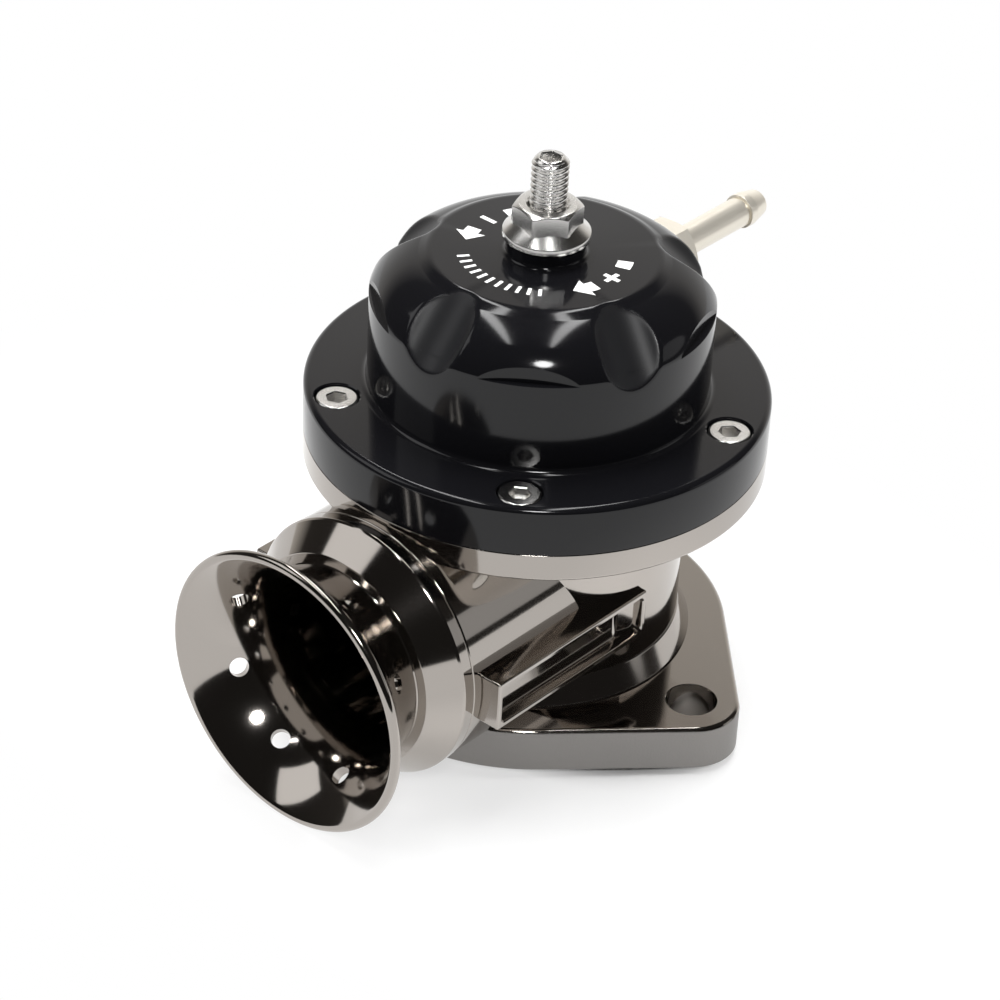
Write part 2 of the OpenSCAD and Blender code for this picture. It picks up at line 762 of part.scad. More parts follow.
module vacuum_nipple() {
    color(nickel) difference() {
        union() {
            at_nipple(nipple_seat_x - nipple_thread_len)
                cylinder(d = nipple_thread_d, h = nipple_thread_len + nipple_washer_t + over);
            at_nipple(nipple_hex_x) rotate([0, 0, 30]) chamfered_hexagon(nipple_flats, nipple_hex_t);
            at_nipple(nipple_hex_x) cylinder(d = nipple_tube_d, h = nipple_hex_t + nipple_tube_len + over);
            at_nipple(barb_x) cylinder(d = barb_d, h = barb_land);
            at_nipple(barb_x + barb_land) cylinder(d1 = barb_d, d2 = tip_d, h = barb_len - barb_land);
        }
        at_nipple(nipple_seat_x - nipple_thread_len - over)
            cylinder(d = nipple_bore_d, h = nipple_tip_x - nipple_seat_x + nipple_thread_len + 2 * over);
    }
}

module nipple_washer() {
    color(copper) at_nipple(nipple_seat_x)
        flat_ring(nipple_thread_d / 2 + fit_gap, nipple_washer_d / 2, nipple_washer_t);
}

module screw_seal() {
    color(rubber) translate([0, 0, adjuster_ring_z])
        o_ring(adjuster_d / 2 + ring_gap + adjuster_ring_d / 2, adjuster_ring_d);
}

module adjusting_screw() {
    tip_bevel = 0.7;
    socket_depth = 4;
    radius = adjuster_d / 2;
    color(stainless) difference() {
        rotate_extrude() polygon([[0, adjuster_z], [radius - tip_bevel, adjuster_z], [radius, adjuster_z + tip_bevel],
            [radius, adjuster_top_z - tip_bevel], [radius - tip_bevel, adjuster_top_z], [0, adjuster_top_z]]);
        translate([0, 0, adjuster_top_z - socket_depth]) hexagon(adjuster_socket, socket_depth + over);
    }
}

module lock_nut() {
    flange_top_r = nut_flats / 2;
    slope_h = (nut_flange_d / 2 - flange_top_r) * tan(30);
    color(stainless) translate([0, 0, hub_top_z]) rotate([0, 0, nut_turn])
        difference() {
            union() {
                chamfered_hexagon(nut_flats, nut_h);
                rotate_extrude() polygon([[0, 0], [nut_flange_d / 2, 0], [nut_flange_d / 2, nut_flange_t],
                    [flange_top_r, nut_flange_t + slope_h], [0, nut_flange_t + slope_h]]);
            }
            translate([0, 0, -over]) cylinder(d = adjuster_d + 2 * run_gap, h = nut_h + 2 * over);
        }
}

module spring_seat() {
    socket_r = adjuster_d / 2 + 0.3;
    socket_wall = 1.8;
    color(alloy) {
        translate([0, 0, spring_seat_z]) cylinder(r = spring_seat_r, h = spring_seat_t);
        translate([0, 0, spring_seat_z - spring_ring_h])
            cylinder(r = spring_r - wire_d / 2 - 0.4, h = spring_ring_h + over);
        translate([0, 0, spring_seat_top_z]) flat_ring(socket_r, socket_r + socket_wall, seat_socket_h);
    }
}

// Middle of the wire at a count of turns from the bottom, with one closed turn at each end
spring_len = spring_seat_z - plate_top_z - 2 * close_gap - wire_d;
closed_pitch = wire_d * 1.04;
open_rise = spring_len - 2 * closed_pitch;
function wire_height(u) = u < 1 ? u * closed_pitch
    : u > spring_turns - 1 ? spring_len - (spring_turns - u) * closed_pitch
    : closed_pitch + (u - 1) / (spring_turns - 2) * open_rise;
function wire_point(u, a) = [cos(360 * u) * (spring_r + wire_d / 2 * cos(a)),
    sin(360 * u) * (spring_r + wire_d / 2 * cos(a)),
    plate_top_z + close_gap + wire_d / 2 + wire_height(u) + wire_d / 2 * sin(a)];

module spring() {
    sides = 8;
    rings = round(spring_turns * 16);
    points = [for (i = [0:rings], k = [0:sides - 1]) wire_point(i * spring_turns / rings, k * 360 / sides)];
    walls = [for (i = [0:rings - 1], k = [0:sides - 1])
        [i * sides + k, i * sides + (k + 1) % sides, (i + 1) * sides + (k + 1) % sides, (i + 1) * sides + k]];
    first = [for (k = [sides - 1:-1:0]) k];
    last = [for (k = [0:sides - 1]) rings * sides + k];
    color(stainless) polyhedron(points, concat(walls, [first], [last]));
}

module upper_plate() {
    ring_out_r = spring_r - wire_d / 2 - 0.4;
    ring_wall = 1.4;
    color(alloy) {
        translate([0, 0, upper_plate_z]) flat_ring(stem_end_d / 2 + fit_gap, plate_r, upper_plate_t);
        translate([0, 0, plate_top_z]) flat_ring(ring_out_r - ring_wall, ring_out_r, spring_ring_h);
    }
}

module diaphragm() {
    hole_r = stem_end_d / 2 + fit_gap;
    lean_in = 0.5;
    color(rubber) rotate_extrude() polygon([[hole_r, diaphragm_z], [diaphragm_flat_r, diaphragm_z],
        [diaphragm_rim_r, body_h], [diaphragm_r, body_h], [diaphragm_r, body_h + diaphragm_t],
        [cavity_r, body_h + diaphragm_t], [diaphragm_flat_r - lean_in, upper_plate_z], [hole_r, upper_plate_z]]);
}

module lower_plate() {
    color(alloy) translate([0, 0, lower_plate_z]) flat_ring(stem_end_d / 2 + fit_gap, plate_r, lower_plate_t);
}

module valve_stem() {
    thin = stem_end_d / 2;
    thick = stem_d / 2;
    color(stainless) difference() {
        rotate_extrude() polygon([[0, head_z], [thin, head_z], [thin, head_top_z], [thick, head_top_z],
            [thick, lower_plate_z], [thin, lower_plate_z], [thin, stem_top_z], [0, stem_top_z]]);
        translate([0, 0, head_z - over]) cylinder(d = head_screw_d + 2 * fit_gap, h = head_screw_len + 2 * over);
    }
}

module stem_washer() {
    color(stainless) translate([0, 0, plate_top_z])
        flat_ring(stem_end_d / 2 + fit_gap, stem_end_d / 2 + stem_washer_w, stem_washer_t);
}

module stem_nut() {
    flats = stem_end_d + stem_nut_wall;
    color(stainless) translate([0, 0, stem_nut_z])
        difference() {
            chamfered_hexagon(flats, stem_nut_h);
            translate([0, 0, -over]) cylinder(d = stem_end_d + 2 * fit_gap, h = stem_nut_h + 2 * over);
        }
}

module valve_head() {
    boss_z = head_z + head_t;
    color(alloy) difference() {
        union() {
            translate([0, 0, head_z]) rotate_extrude() rounded_disc(head_r, head_t, 0.8);
            translate([0, 0, head_z]) cylinder(r = head_boss_r, h = head_t + head_boss_h);
            translate([0, 0, boss_z]) rotate_extrude() translate([head_boss_r, 0]) corner_fillet(1.5);
        }
        translate([0, 0, head_z - over])
            flat_ring(seal_in_r - fit_gap, seal_out_r + fit_gap, over + seal_t - seal_proud);
        translate([0, 0, head_z - over]) cylinder(d = stem_end_d + 2 * fit_gap, h = head_top_z);
    }
}

module valve_seal() {
    color(rubber) translate([0, 0, seal_z]) flat_ring(seal_in_r, seal_out_r, seal_t);
}

module head_screw() {
    color(stainless) difference() {
        union() {
            translate([0, 0, head_z]) mirror([0, 0, 1])
                rotate_extrude() rounded_disc(head_screw_head_r, head_screw_head_h, 1);
            translate([0, 0, head_z - over]) cylinder(d = head_screw_d, h = head_screw_len + over);
        }
        translate([0, 0, head_z - head_screw_head_h - over])
            hexagon(head_screw_socket, over + head_screw_head_h * 0.7);
    }
}

body();
valve_seat();
flange_o_ring();
guide_bush();
guide_seal();
trumpet();
trumpet_o_ring();
cover();
cover_screws();
vacuum_nipple();
nipple_washer();
screw_seal();
adjusting_screw();
lock_nut();
spring_seat();
spring();
upper_plate();
diaphragm();
lower_plate();
valve_stem();
stem_washer();
stem_nut();
valve_head();
valve_seal();
head_screw();
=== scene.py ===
"""Dresses the blow off valve: polished gunmetal body and trumpet, gloss black cover, bright screws."""
from __future__ import annotations

import json
import logging
import math
from dataclasses import dataclass
from enum import Enum
from typing import Any, Sequence

import bmesh
import bpy
import numpy as np
from mathutils import Matrix, Vector
from mathutils.kdtree import KDTree

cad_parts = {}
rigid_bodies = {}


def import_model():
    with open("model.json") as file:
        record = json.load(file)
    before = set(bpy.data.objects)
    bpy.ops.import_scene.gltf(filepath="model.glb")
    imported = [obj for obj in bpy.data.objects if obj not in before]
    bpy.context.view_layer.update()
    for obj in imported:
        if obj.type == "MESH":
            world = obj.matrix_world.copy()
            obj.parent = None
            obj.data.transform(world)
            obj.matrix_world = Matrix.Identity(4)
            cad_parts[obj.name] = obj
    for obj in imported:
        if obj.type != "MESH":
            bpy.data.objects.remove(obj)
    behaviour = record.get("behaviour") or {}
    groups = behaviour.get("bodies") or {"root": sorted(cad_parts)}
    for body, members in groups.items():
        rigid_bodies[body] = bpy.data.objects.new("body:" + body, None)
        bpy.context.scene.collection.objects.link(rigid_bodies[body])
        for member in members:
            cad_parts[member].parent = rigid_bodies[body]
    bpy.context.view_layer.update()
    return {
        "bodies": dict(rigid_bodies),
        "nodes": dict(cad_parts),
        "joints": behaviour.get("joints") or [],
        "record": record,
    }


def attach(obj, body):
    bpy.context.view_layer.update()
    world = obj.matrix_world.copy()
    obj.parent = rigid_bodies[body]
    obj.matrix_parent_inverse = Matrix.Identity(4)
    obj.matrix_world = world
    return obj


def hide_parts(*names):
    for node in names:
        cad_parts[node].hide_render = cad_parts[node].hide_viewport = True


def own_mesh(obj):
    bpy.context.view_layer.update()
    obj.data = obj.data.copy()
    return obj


log = logging.getLogger("blow_off_valve")

# Metres in a millimetre
MM = 0.001
# How far a cutter reaches past the face that it opens, in millimetres
PAST = 1.0

Point = tuple[float, float]
Color = tuple[float, float, float]
Mesh = bpy.types.Mesh
Object = bpy.types.Object
Material = bpy.types.Material
Node = bpy.types.Node
Socket = bpy.types.NodeSocket
Tree = bpy.types.NodeTree


class Body(str, Enum):
    """Bodies of the frame that pieces ride on."""

    HOUSING = "housing"
    ADJUSTER = "adjuster"
    NUT = "nut"


class Cut(str, Enum):
    """Ways to combine two closed shapes."""

    JOIN = "UNION"
    REMOVE = "DIFFERENCE"


# Outlines and meshes


def rounded_outline(corners: Sequence[Sequence[float]], step: float = 9.0) -> list[Point]:
    """Walks round a closed outline and turns each corner with a radius into an arc.

    Args:
        corners: Points as (x, y), or (x, y, radius) for a rounded corner, in order.
        step: Largest turn between two points of an arc, in degrees.

    Returns:
        The outline's points.
    """
    points: list[Point] = []
    for i, (x, y, *radius) in enumerate(corners):
        if not radius:
            points.append((x, y))
            continue
        here = Vector((x, y))
        before = (Vector(corners[i - 1][:2]) - here).normalized()
        after = (Vector(corners[(i + 1) % len(corners)][:2]) - here).normalized()
        between = before.angle(after)
        centre = here + (before + after).normalized() * radius[0] / math.sin(between / 2)
        spoke = here + before * (radius[0] / math.tan(between / 2)) - centre
        turn = math.copysign(math.pi - between, -before.cross(after))
        pieces = max(2, math.ceil(abs(math.degrees(turn)) / step))
        for k in range(pieces + 1):
            c, s = math.cos(turn * k / pieces), math.sin(turn * k / pieces)
            points.append((centre.x + c * spoke.x - s * spoke.y, centre.y + s * spoke.x + c * spoke.y))
    return points


def rectangle(left: float, low: float, right: float, high: float, radius: float = 0.0) -> list[Point]:
    """Outline of a rectangle, with its corners rounded where a radius is given."""
    corners = [(left, low), (right, low), (right, high), (left, high)]
    return rounded_outline([(*corner, radius) for corner in corners]) if radius else corners


def polar(radius: float, turn: float) -> Point:
    """Point at a radius and a direction in degrees."""
    return radius * math.cos(math.radians(turn)), radius * math.sin(math.radians(turn))


def hexagon_points(flats: float, count: int, turn: float = 0.0) -> list[Point]:
    """Points round a hexagon, evenly by angle, so that they pair with a circle's points.

    Args:
        flats: Width across flats.
        count: Number of points, a multiple of twelve so that corners and faces are met.
        turn: Direction of a face's middle, in degrees.

    Returns:
        The points.
    """
    points = []
    for k in range(count):
        angle = 360.0 * k / count
        from_face = math.radians((angle - turn + 30.0) % 60.0 - 30.0)
        points.append(polar(flats / 2 / math.cos(from_face), angle))
    return points


def edge_round(radius: float, steps: int) -> list[Point]:
    """Inset and depth below the top at each step of a quarter round, from the side to the top."""
    angles = [math.pi / 2 * k / steps for k in range(steps + 1)]
    return [(radius * (1 - math.cos(a)), radius * (1 - math.sin(a))) for a in angles]


def mesh_of(name: str, points: np.ndarray, faces: list[tuple[int, ...]],
            place: Matrix | None = None) -> Mesh:
    """Makes a closed mesh, with its doubles merged and its faces outwards.

    Args:
        name: Name of the mesh.
        points: Points, one row each, in millimetres.
        faces: Corner numbers of each face.
        place: Where the mesh goes, in millimetres.

    Returns:
        The mesh, in metres.
    """
    mesh = bpy.data.meshes.new(name)
    mesh.from_pydata(points.tolist(), [], faces)
    if place is not None:
        mesh.transform(place)
    mesh.transform(Matrix.Scale(MM, 4))
    work = bmesh.new()
    work.from_mesh(mesh)
    bmesh.ops.remove_doubles(work, verts=work.verts, dist=1e-7)
    bmesh.ops.dissolve_degenerate(work, edges=work.edges, dist=1e-8)
    bmesh.ops.recalc_face_normals(work, faces=work.faces)
    work.to_mesh(mesh)
    work.free()
    return mesh


def swept(section: Sequence[Point] | np.ndarray, segments: int) -> np.ndarray:
    """Copies a section of (radius, height) round the Z axis.

    Args:
        section: Points of the section.
        segments: Steps round the axis.

    Returns:
        Points by step, place in the section and axis.
    """
    radius, height = np.array(section).T
    angles = np.arange(segments) * 2 * np.pi / segments
    return np.stack([np.outer(np.cos(angles), radius), np.outer(np.sin(angles), radius),
                     np.tile(height, (segments, 1))], axis=2)


def ring_faces(rows: int, columns: int) -> list[tuple[int, ...]]:
    """Quads of a grid that closes on itself both ways.

    Args:
        rows: Number of rows of points.
        columns: Number of points in a row.

    Returns:
        Corner numbers of each quad.
    """
    faces = []
    for i in range(rows):
        j = (i + 1) % rows
        for k in range(columns):
            m = (k + 1) % columns
            faces.append((i * columns + k, j * columns + k, j * columns + m, i * columns + m))
    return faces


def revolved(name: str, corners: Sequence[Sequence[float]], segments: int, place: Matrix | None = None,
             step: float = 9.0) -> Mesh:
    """Turns a closed outline of (radius, height) round the Z axis.

    Args:
        name: Name of the mesh.
        corners: Corners as rounded_outline takes them, in millimetres.
        segments: Steps round the axis.
        place: Where the shape goes, in millimetres.
        step: Largest turn between two points of a rounded corner, in degrees.

    Returns:
        The mesh, in metres.
    """
    outline = rounded_outline(corners, step)
    return mesh_of(name, swept(outline, segments).reshape(-1, 3), ring_faces(segments, len(outline)), place)


def cylinder(name: str, radius: float, low: float, high: float, place: Matrix | None = None,
             segments: int = 64) -> Mesh:
    """Closed cylinder along Z from one height to another, in millimetres."""
    return revolved(name, [(0.0, low), (radius, low), (radius, high), (0.0, high)], segments, place)


def stacked(name: str, loops: Sequence[np.ndarray], place: Matrix | None = None) -> Mesh:
    """Joins loops of the same count into a closed skin with a flat face at each end.

    Args:
        name: Name of the mesh.
        loops: Loops of points, in millimetres, from one end to the other.
        place: Where the shape goes, in millimetres.

    Returns:
        The mesh, in metres.
    """
    count = len(loops[0])
    last = (len(loops) - 1) * count
    faces = ring_faces(len(loops), count)[:last]
    faces.append(tuple(range(count)))
    faces.append(tuple(range(last + count - 1, last - 1, -1)))
    return mesh_of(name, np.concatenate(loops), faces, place)


def flat_loop(points: Sequence[Point], height: float) -> np.ndarray:
    """Lifts an outline to a height as rows of three numbers."""
    return np.array([(x, y, height) for x, y in points])


def prism(name: str, outline: Sequence[Point], low: float, high: float) -> Mesh:
    """Closed prism over an outline, in millimetres."""
    return stacked(name, [flat_loop(outline, low), flat_loop(outline, high)])


def placed(x: float, y: float, z: float, tilt: float = 0.0, axis: str = "Y") -> Matrix:
    """Matrix that turns by a tilt in degrees about an axis, then moves to a point."""
    return Matrix.Translation((x, y, z)) @ Matrix.Rotation(math.radians(tilt), 4, axis)


# Objects


def object_of(mesh: Mesh) -> Object:
    """Links a mesh to the scene as an object of the same name.

    Args:
        mesh: The mesh.

    Returns:
        The new object.
    """
    obj = bpy.data.objects.new(mesh.name, mesh)
    bpy.context.scene.collection.objects.link(obj)
    return obj


def taken(obj: Object) -> Mesh:
    """Takes the mesh from a scratch object.

    Args:
        obj: The object, which is removed.

    Returns:
        Its mesh.
    """
    mesh = obj.data
    bpy.data.objects.remove(obj)
    return mesh


def baked(obj: Object) -> Object:
    """Turns an object with modifiers into a plain mesh.

    Args:
        obj: Object whose modifiers are applied and removed.

    Returns:
        The same object.
    """
    bpy.context.view_layer.update()
    graph = bpy.context.evaluated_depsgraph_get()
    mesh = bpy.data.meshes.new_from_object(obj.evaluated_get(graph), depsgraph=graph)
    obj.modifiers.clear()
    obj.data = mesh
    mesh.name = obj.name
    return obj


def combine(obj: Object, tool: Mesh, cut: Cut) -> None:
    """Joins a closed mesh to an object or cuts it out.

    Args:
        obj: Object that is changed.
        tool: Closed mesh, which is used up.
        cut: Whether the tool is joined or removed.
    """
    cutter = object_of(tool)
    modifier = obj.modifiers.new("combine", "BOOLEAN")
    modifier.object = cutter
    modifier.operation = cut.value
    modifier.solver = "MANIFOLD"
    baked(obj)
    bpy.data.objects.remove(cutter)


def smooth(obj: Object, sharp_angle: float = 32.0) -> None:
    """Shades an object smooth, apart from edges that turn more than an angle in degrees."""
    obj.data.shade_smooth()
    obj.data.set_sharp_from_angle(angle=math.radians(sharp_angle))


def weighted(obj: Object) -> None:
    """Lets large faces lead the shading, so that flat and round stretches stay clean.

    Args:
        obj: Object whose normals are set.
    """
    modifier = obj.modifiers.new("weighted_normals", "WEIGHTED_NORMAL")
    modifier.keep_sharp = True
    modifier.weight = 60
    baked(obj)


def mark(obj: Object, name: str, values: np.ndarray) -> None:
    """Stores one number per vertex on a mesh."""
    layer = obj.data.attributes.new(name, "FLOAT", "POINT")
    layer.data.foreach_set("value", values.astype(np.float32))


def vertex_array(obj: Object) -> np.ndarray:
    """Reads the vertices of a mesh.

    Args:
        obj: Object with the mesh.

    Returns:
        The vertices in millimetres, one row each.
    """
    flat = np.zeros(len(obj.data.vertices) * 3, np.float32)
    obj.data.vertices.foreach_get("co", flat)
    return flat.reshape(-1, 3) / MM


def nearest_values(points: np.ndarray, places: np.ndarray, values: np.ndarray,
                   reach: float = 0.01) -> np.ndarray:
    """Value of each point's nearest place, or 0 where no place is near.

    Args:
        points: Points that take the values, in millimetres.
        places: Places that hold the values, in millimetres.
        values: One value per place.
        reach: Largest distance between a point and its place.

    Returns:
        One value per point.
    """
    tree = KDTree(len(places))
    for i, place in enumerate(places):
        tree.insert(place, i)
    tree.balance()
    found = [tree.find(point) for point in points]
    return np.array([values[i] if gap < reach else 0.0 for _, i, gap in found])


# Nodes


def add_node(tree: Tree, kind: str, links: dict[str | int, Any] | None = None, **settings: Any) -> Node:
    """Adds a node, sets it up and links or fills its inputs.

    Args:
        tree: Tree that takes the node.
        kind: Type of the node.
        links: Input name or number to a socket or a plain value.
        settings: Properties of the node.

    Returns:
        The node.
    """
    made = tree.nodes.new(kind)
    for key, value in settings.items():
        setattr(made, key, value)
    for key, value in (links or {}).items():
        if isinstance(value, Socket):
            tree.links.new(value, made.inputs[key])
        else:
            made.inputs[key].default_value = value
    return made


def math_node(tree: Tree, operation: str, *values: Any, clamp: bool = False) -> Socket:
    """Result of a math node on sockets or numbers."""
    links = dict(enumerate(values))
    return add_node(tree, "ShaderNodeMath", links, operation=operation, use_clamp=clamp).outputs[0]


def multiply_add(tree: Tree, value: Socket, factor: Any, offset: Any) -> Socket:
    """Value times factor plus offset, kept between 0 and 1."""
    return math_node(tree, "MULTIPLY_ADD", value, factor, offset, clamp=True)


def color_ramp(tree: Tree, value: Socket, stops: Sequence[tuple[float, Color]], kind: str) -> Socket:
    """Turns a value into a colour.

    Args:
        tree: Tree that takes the node.
        value: The value.
        stops: Places from 0 to 1, in order, each with its colour.
        kind: How the ramp goes from stop to stop.

    Returns:
        The colour.
    """
    node = add_node(tree, "ShaderNodeValToRGB", {"Fac": value})
    ramp = node.color_ramp
    ramp.interpolation = kind
    ramp.elements[0].position = stops[0][0]
    ramp.elements[1].position = stops[-1][0]
    for spot, _ in stops[1:-1]:
        ramp.elements.new(spot)
    for element, (_, color) in zip(ramp.elements, stops):
        element.color = (*color, 1.0)
    return node.outputs["Color"]


def mixed_output(tree: Tree, kind: str, factor: Socket, first: Node, second: Node) -> None:
    """Ends a tree in a mix of two shaders."""
    mix = add_node(tree, "ShaderNodeMixShader", {0: factor, 1: first.outputs[0], 2: second.outputs[0]})
    add_node(tree, kind, {0: mix.outputs[0]})


class NodeShape:
    """A Geometry Nodes tree that ends in Realize Instances and Set Material."""

    def __init__(self, name: str) -> None:
        """Starts an empty tree with a geometry output.

        Args:
            name: Name of the tree.
        """
        self.tree = bpy.data.node_groups.new(name, "GeometryNodeTree")
        self.tree.interface.new_socket("Geometry", in_out="OUTPUT", socket_type="NodeSocketGeometry")
        self.identifiers: dict[str, str] = {}
        self.inputs = self.tree.nodes.new("NodeGroupInput")

    def field(self, name: str, kind: str = "NodeSocketFloat") -> Socket:
        """Adds a named input.

        Args:
            name: Name of the input.
            kind: Type of its socket.

        Returns:
            The input as the tree's nodes see it.
        """
        socket = self.tree.interface.new_socket(name, in_out="INPUT", socket_type=kind)
        self.identifiers[name] = socket.identifier
        return self.inputs.outputs[name]

    def node(self, kind: str, links: dict[str | int, Any] | None = None, **settings: Any) -> Node:
        """Adds a node to the tree."""
        return add_node(self.tree, kind, links, **settings)

    def math(self, operation: str, *values: Any) -> Socket:
        """Result of a math node in the tree."""
        return math_node(self.tree, operation, *values)

    def close(self, geometry: Socket) -> None:
        """Ends the tree: instances are made real and take their material.

        Args:
            geometry: What the tree has made.
        """
        material = self.field("Material", "NodeSocketMaterial")
        real = self.node("GeometryNodeRealizeInstances", {"Geometry": geometry})
        dressed = self.node("GeometryNodeSetMaterial", {"Geometry": real.outputs[0], "Material": material})
        self.node("NodeGroupOutput", {0: dressed.outputs[0]})

    def make(self, name: str, values: dict[str, Any]) -> Object:
        """Runs the tree with values for its inputs.

        Args:
            name: Name of the new object.
            values: Input name to value.

        Returns:
            An object with a plain mesh.
        """
        obj = object_of(bpy.data.meshes.new(name))
        modifier = obj.modifiers.new("shape", "NODES")
        modifier.node_group = self.tree
        for key, value in values.items():
            modifier[self.identifiers[key]] = value
        return baked(obj)


class RingArray(NodeShape):
    """Copies of one item, evenly round part of a circle about Z, each turned to face outwards."""

    def __init__(self) -> None:
        """Builds the tree."""
        super().__init__("ring_array")
        item = self.field("Item", "NodeSocketObject")
        count = self.field("Count", "NodeSocketInt")
        radius, start, step = (self.field(name) for name in ("Radius", "Start", "Step"))
        points = self.node("GeometryNodePoints", {"Count": count})
        index = self.node("GeometryNodeInputIndex").outputs[0]
        angle = self.math("ADD", start, self.math("MULTIPLY", index, step))
        x, y = (self.math("MULTIPLY", radius, self.math(way, angle)) for way in ("COSINE", "SINE"))
        spot = self.node("ShaderNodeCombineXYZ", {0: x, 1: y})
        moved = self.node("GeometryNodeSetPosition", {
            "Geometry": points.outputs[0], "Position": spot.outputs[0]})
        turn = self.node("ShaderNodeCombineXYZ", {2: angle})
        source = self.node("GeometryNodeObjectInfo", {"Object": item}, transform_space="ORIGINAL")
        copies = self.node("GeometryNodeInstanceOnPoints", {
            "Points": moved.outputs[0], "Rotation": turn.outputs[0],
            "Instance": source.outputs["Geometry"]})
        self.close(copies.outputs[0])

    def ring(self, name: str, item: Mesh, count: int, radius: float, start: float = 0.0,
             step: float | None = None) -> Object:
        """Copies a mesh round a circle.

        Args:
            name: Name of the new object.
            item: Mesh to copy, made at the origin, which is used up.
            count: Number of copies.
            radius: Circle's radius, in millimetres.
            start: Direction of the first copy, in degrees.
            step: Angle between copies, in degrees, or None for a full circle.

        Returns:
            The object with all copies in one mesh.
        """
        source = object_of(item)
        turn = 360.0 / count if step is None else step
        obj = self.make(name, {"Item": source, "Count": count, "Radius": radius * MM,
                               "Start": math.radians(start), "Step": math.radians(turn)})
        bpy.data.objects.remove(source)
        return obj


class Coil(NodeShape):
    """A round wire wound about Z, close at both ends and open between."""

    def __init__(self, pitch: float = 2.04) -> None:
        """Builds the tree.

        Args:
            pitch: Rise of a closed turn, in wire radii.
        """
        super().__init__("coil")
        names = ("Turns", "Length", "Radius", "Wire", "Low")
        turns, length, radius, wire, low = (self.field(name) for name in names)
        spiral = self.node("GeometryNodeCurveSpiral", {
            "Resolution": 48, "Rotations": turns, "Start Radius": radius, "End Radius": radius,
            "Height": 0.0})
        along = self.node("GeometryNodeSplineParameter").outputs["Factor"]
        eased = self.node("ShaderNodeMapRange", {"Value": along}, interpolation_type="SMOOTHSTEP")
        closed = self.math("MULTIPLY", turns, self.math("MULTIPLY", wire, pitch))
        spare = self.math("SUBTRACT", length, closed)
        rise = self.math("ADD", self.math("MULTIPLY", closed, along),
                         self.math("MULTIPLY", spare, eased.outputs[0]))
        lift = self.node("ShaderNodeCombineXYZ", {2: self.math("ADD", low, rise)})
        wound = self.node("GeometryNodeSetPosition", {
            "Geometry": spiral.outputs[0], "Offset": lift.outputs[0]})
        section = self.node("GeometryNodeCurvePrimitiveCircle", {"Resolution": 16, "Radius": wire})
        skin = self.node("GeometryNodeCurveToMesh", {
            "Curve": wound.outputs[0], "Profile Curve": section.outputs[0], "Fill Caps": True})
        self.close(skin.outputs[0])


# Shader groups and finishes


class ShaderGroup:
    """Shader node groups that several finishes share."""

    _made: dict[str, Tree] = {}

    @classmethod
    def grain(cls) -> Tree:
        """Fine and broad unevenness: a signed value for roughness and a height for bump.

        Returns:
            The group, which is built once.
        """
        if "grain" in cls._made:
            return cls._made["grain"]
        tree = bpy.data.node_groups.new("grain", "ShaderNodeTree")
        detail = {"Fine Scale": 3.0, "Broad Scale": 4.0}
        for way, names in (("INPUT", detail), ("OUTPUT", ("Spread", "Height"))):
            for name in names:
                tree.interface.new_socket(name, in_out=way, socket_type="NodeSocketFloat")
        scales = tree.nodes.new("NodeGroupInput").outputs
        where = tree.nodes.new("ShaderNodeTexCoord").outputs["Object"]
        noises = [add_node(tree, "ShaderNodeTexNoise", {
            "Vector": where, "Scale": scales[name], "Detail": detail[name]}) for name in detail]
        fine, broad = (noise.outputs["Fac"] for noise in noises)
        spread = math_node(tree, "SUBTRACT", math_node(tree, "ADD", fine, broad), 1.0)
        add_node(tree, "NodeGroupOutput", {"Spread": spread, "Height": fine})
        cls._made["grain"] = tree
        return tree


@dataclass(frozen=True)
class Finish:
    """One surface finish: colour, gloss and the unevenness that the real surface has."""

    name: str
    color: Color
    roughness: float
    metallic: float = 1.0
    fine_scale: float = 2600.0
    broad_scale: float = 60.0
    spread: float = 0.04
    bump: float = 0.0
    bump_height: float = 0.00002
    specular: float = 0.5

    def build(self) -> Material:
        """Makes the material.

        Returns:
            The material with its node tree.
        """
        material = bpy.data.materials.new(self.name)
        material.use_nodes = True
        tree = material.node_tree
        shader = tree.nodes["Principled BSDF"].inputs
        shader["Base Color"].default_value = (*self.color, 1.0)
        shader["Metallic"].default_value = self.metallic
        shader["Specular IOR Level"].default_value = self.specular
        scales = {"Fine Scale": self.fine_scale, "Broad Scale": self.broad_scale}
        grain = add_node(tree, "ShaderNodeGroup", scales, node_tree=ShaderGroup.grain())
        tree.links.new(self.roughness_socket(tree, grain), shader["Roughness"])
        bump = add_node(tree, "ShaderNodeBump", {
            "Distance": self.bump_height, "Height": self.height_socket(tree, grain)})
        tree.links.new(bump.outputs["Normal"], shader["Normal"])
        self.tint(tree, shader["Base Color"])
        return material

    def roughness_socket(self, tree: Tree, grain: Node) -> Socket:
        """Roughness that varies about its mean with the grain."""
        return multiply_add(tree, grain.outputs["Spread"], self.spread, self.roughness)

    def height_socket(self, tree: Tree, grain: Node) -> Socket:
        """Height of the grain's relief."""
        return multiply_add(tree, grain.outputs["Height"], self.bump, 0.0)

    def tint(self, tree: Tree, color: Socket) -> None:
        """Leaves the colour the same all over."""


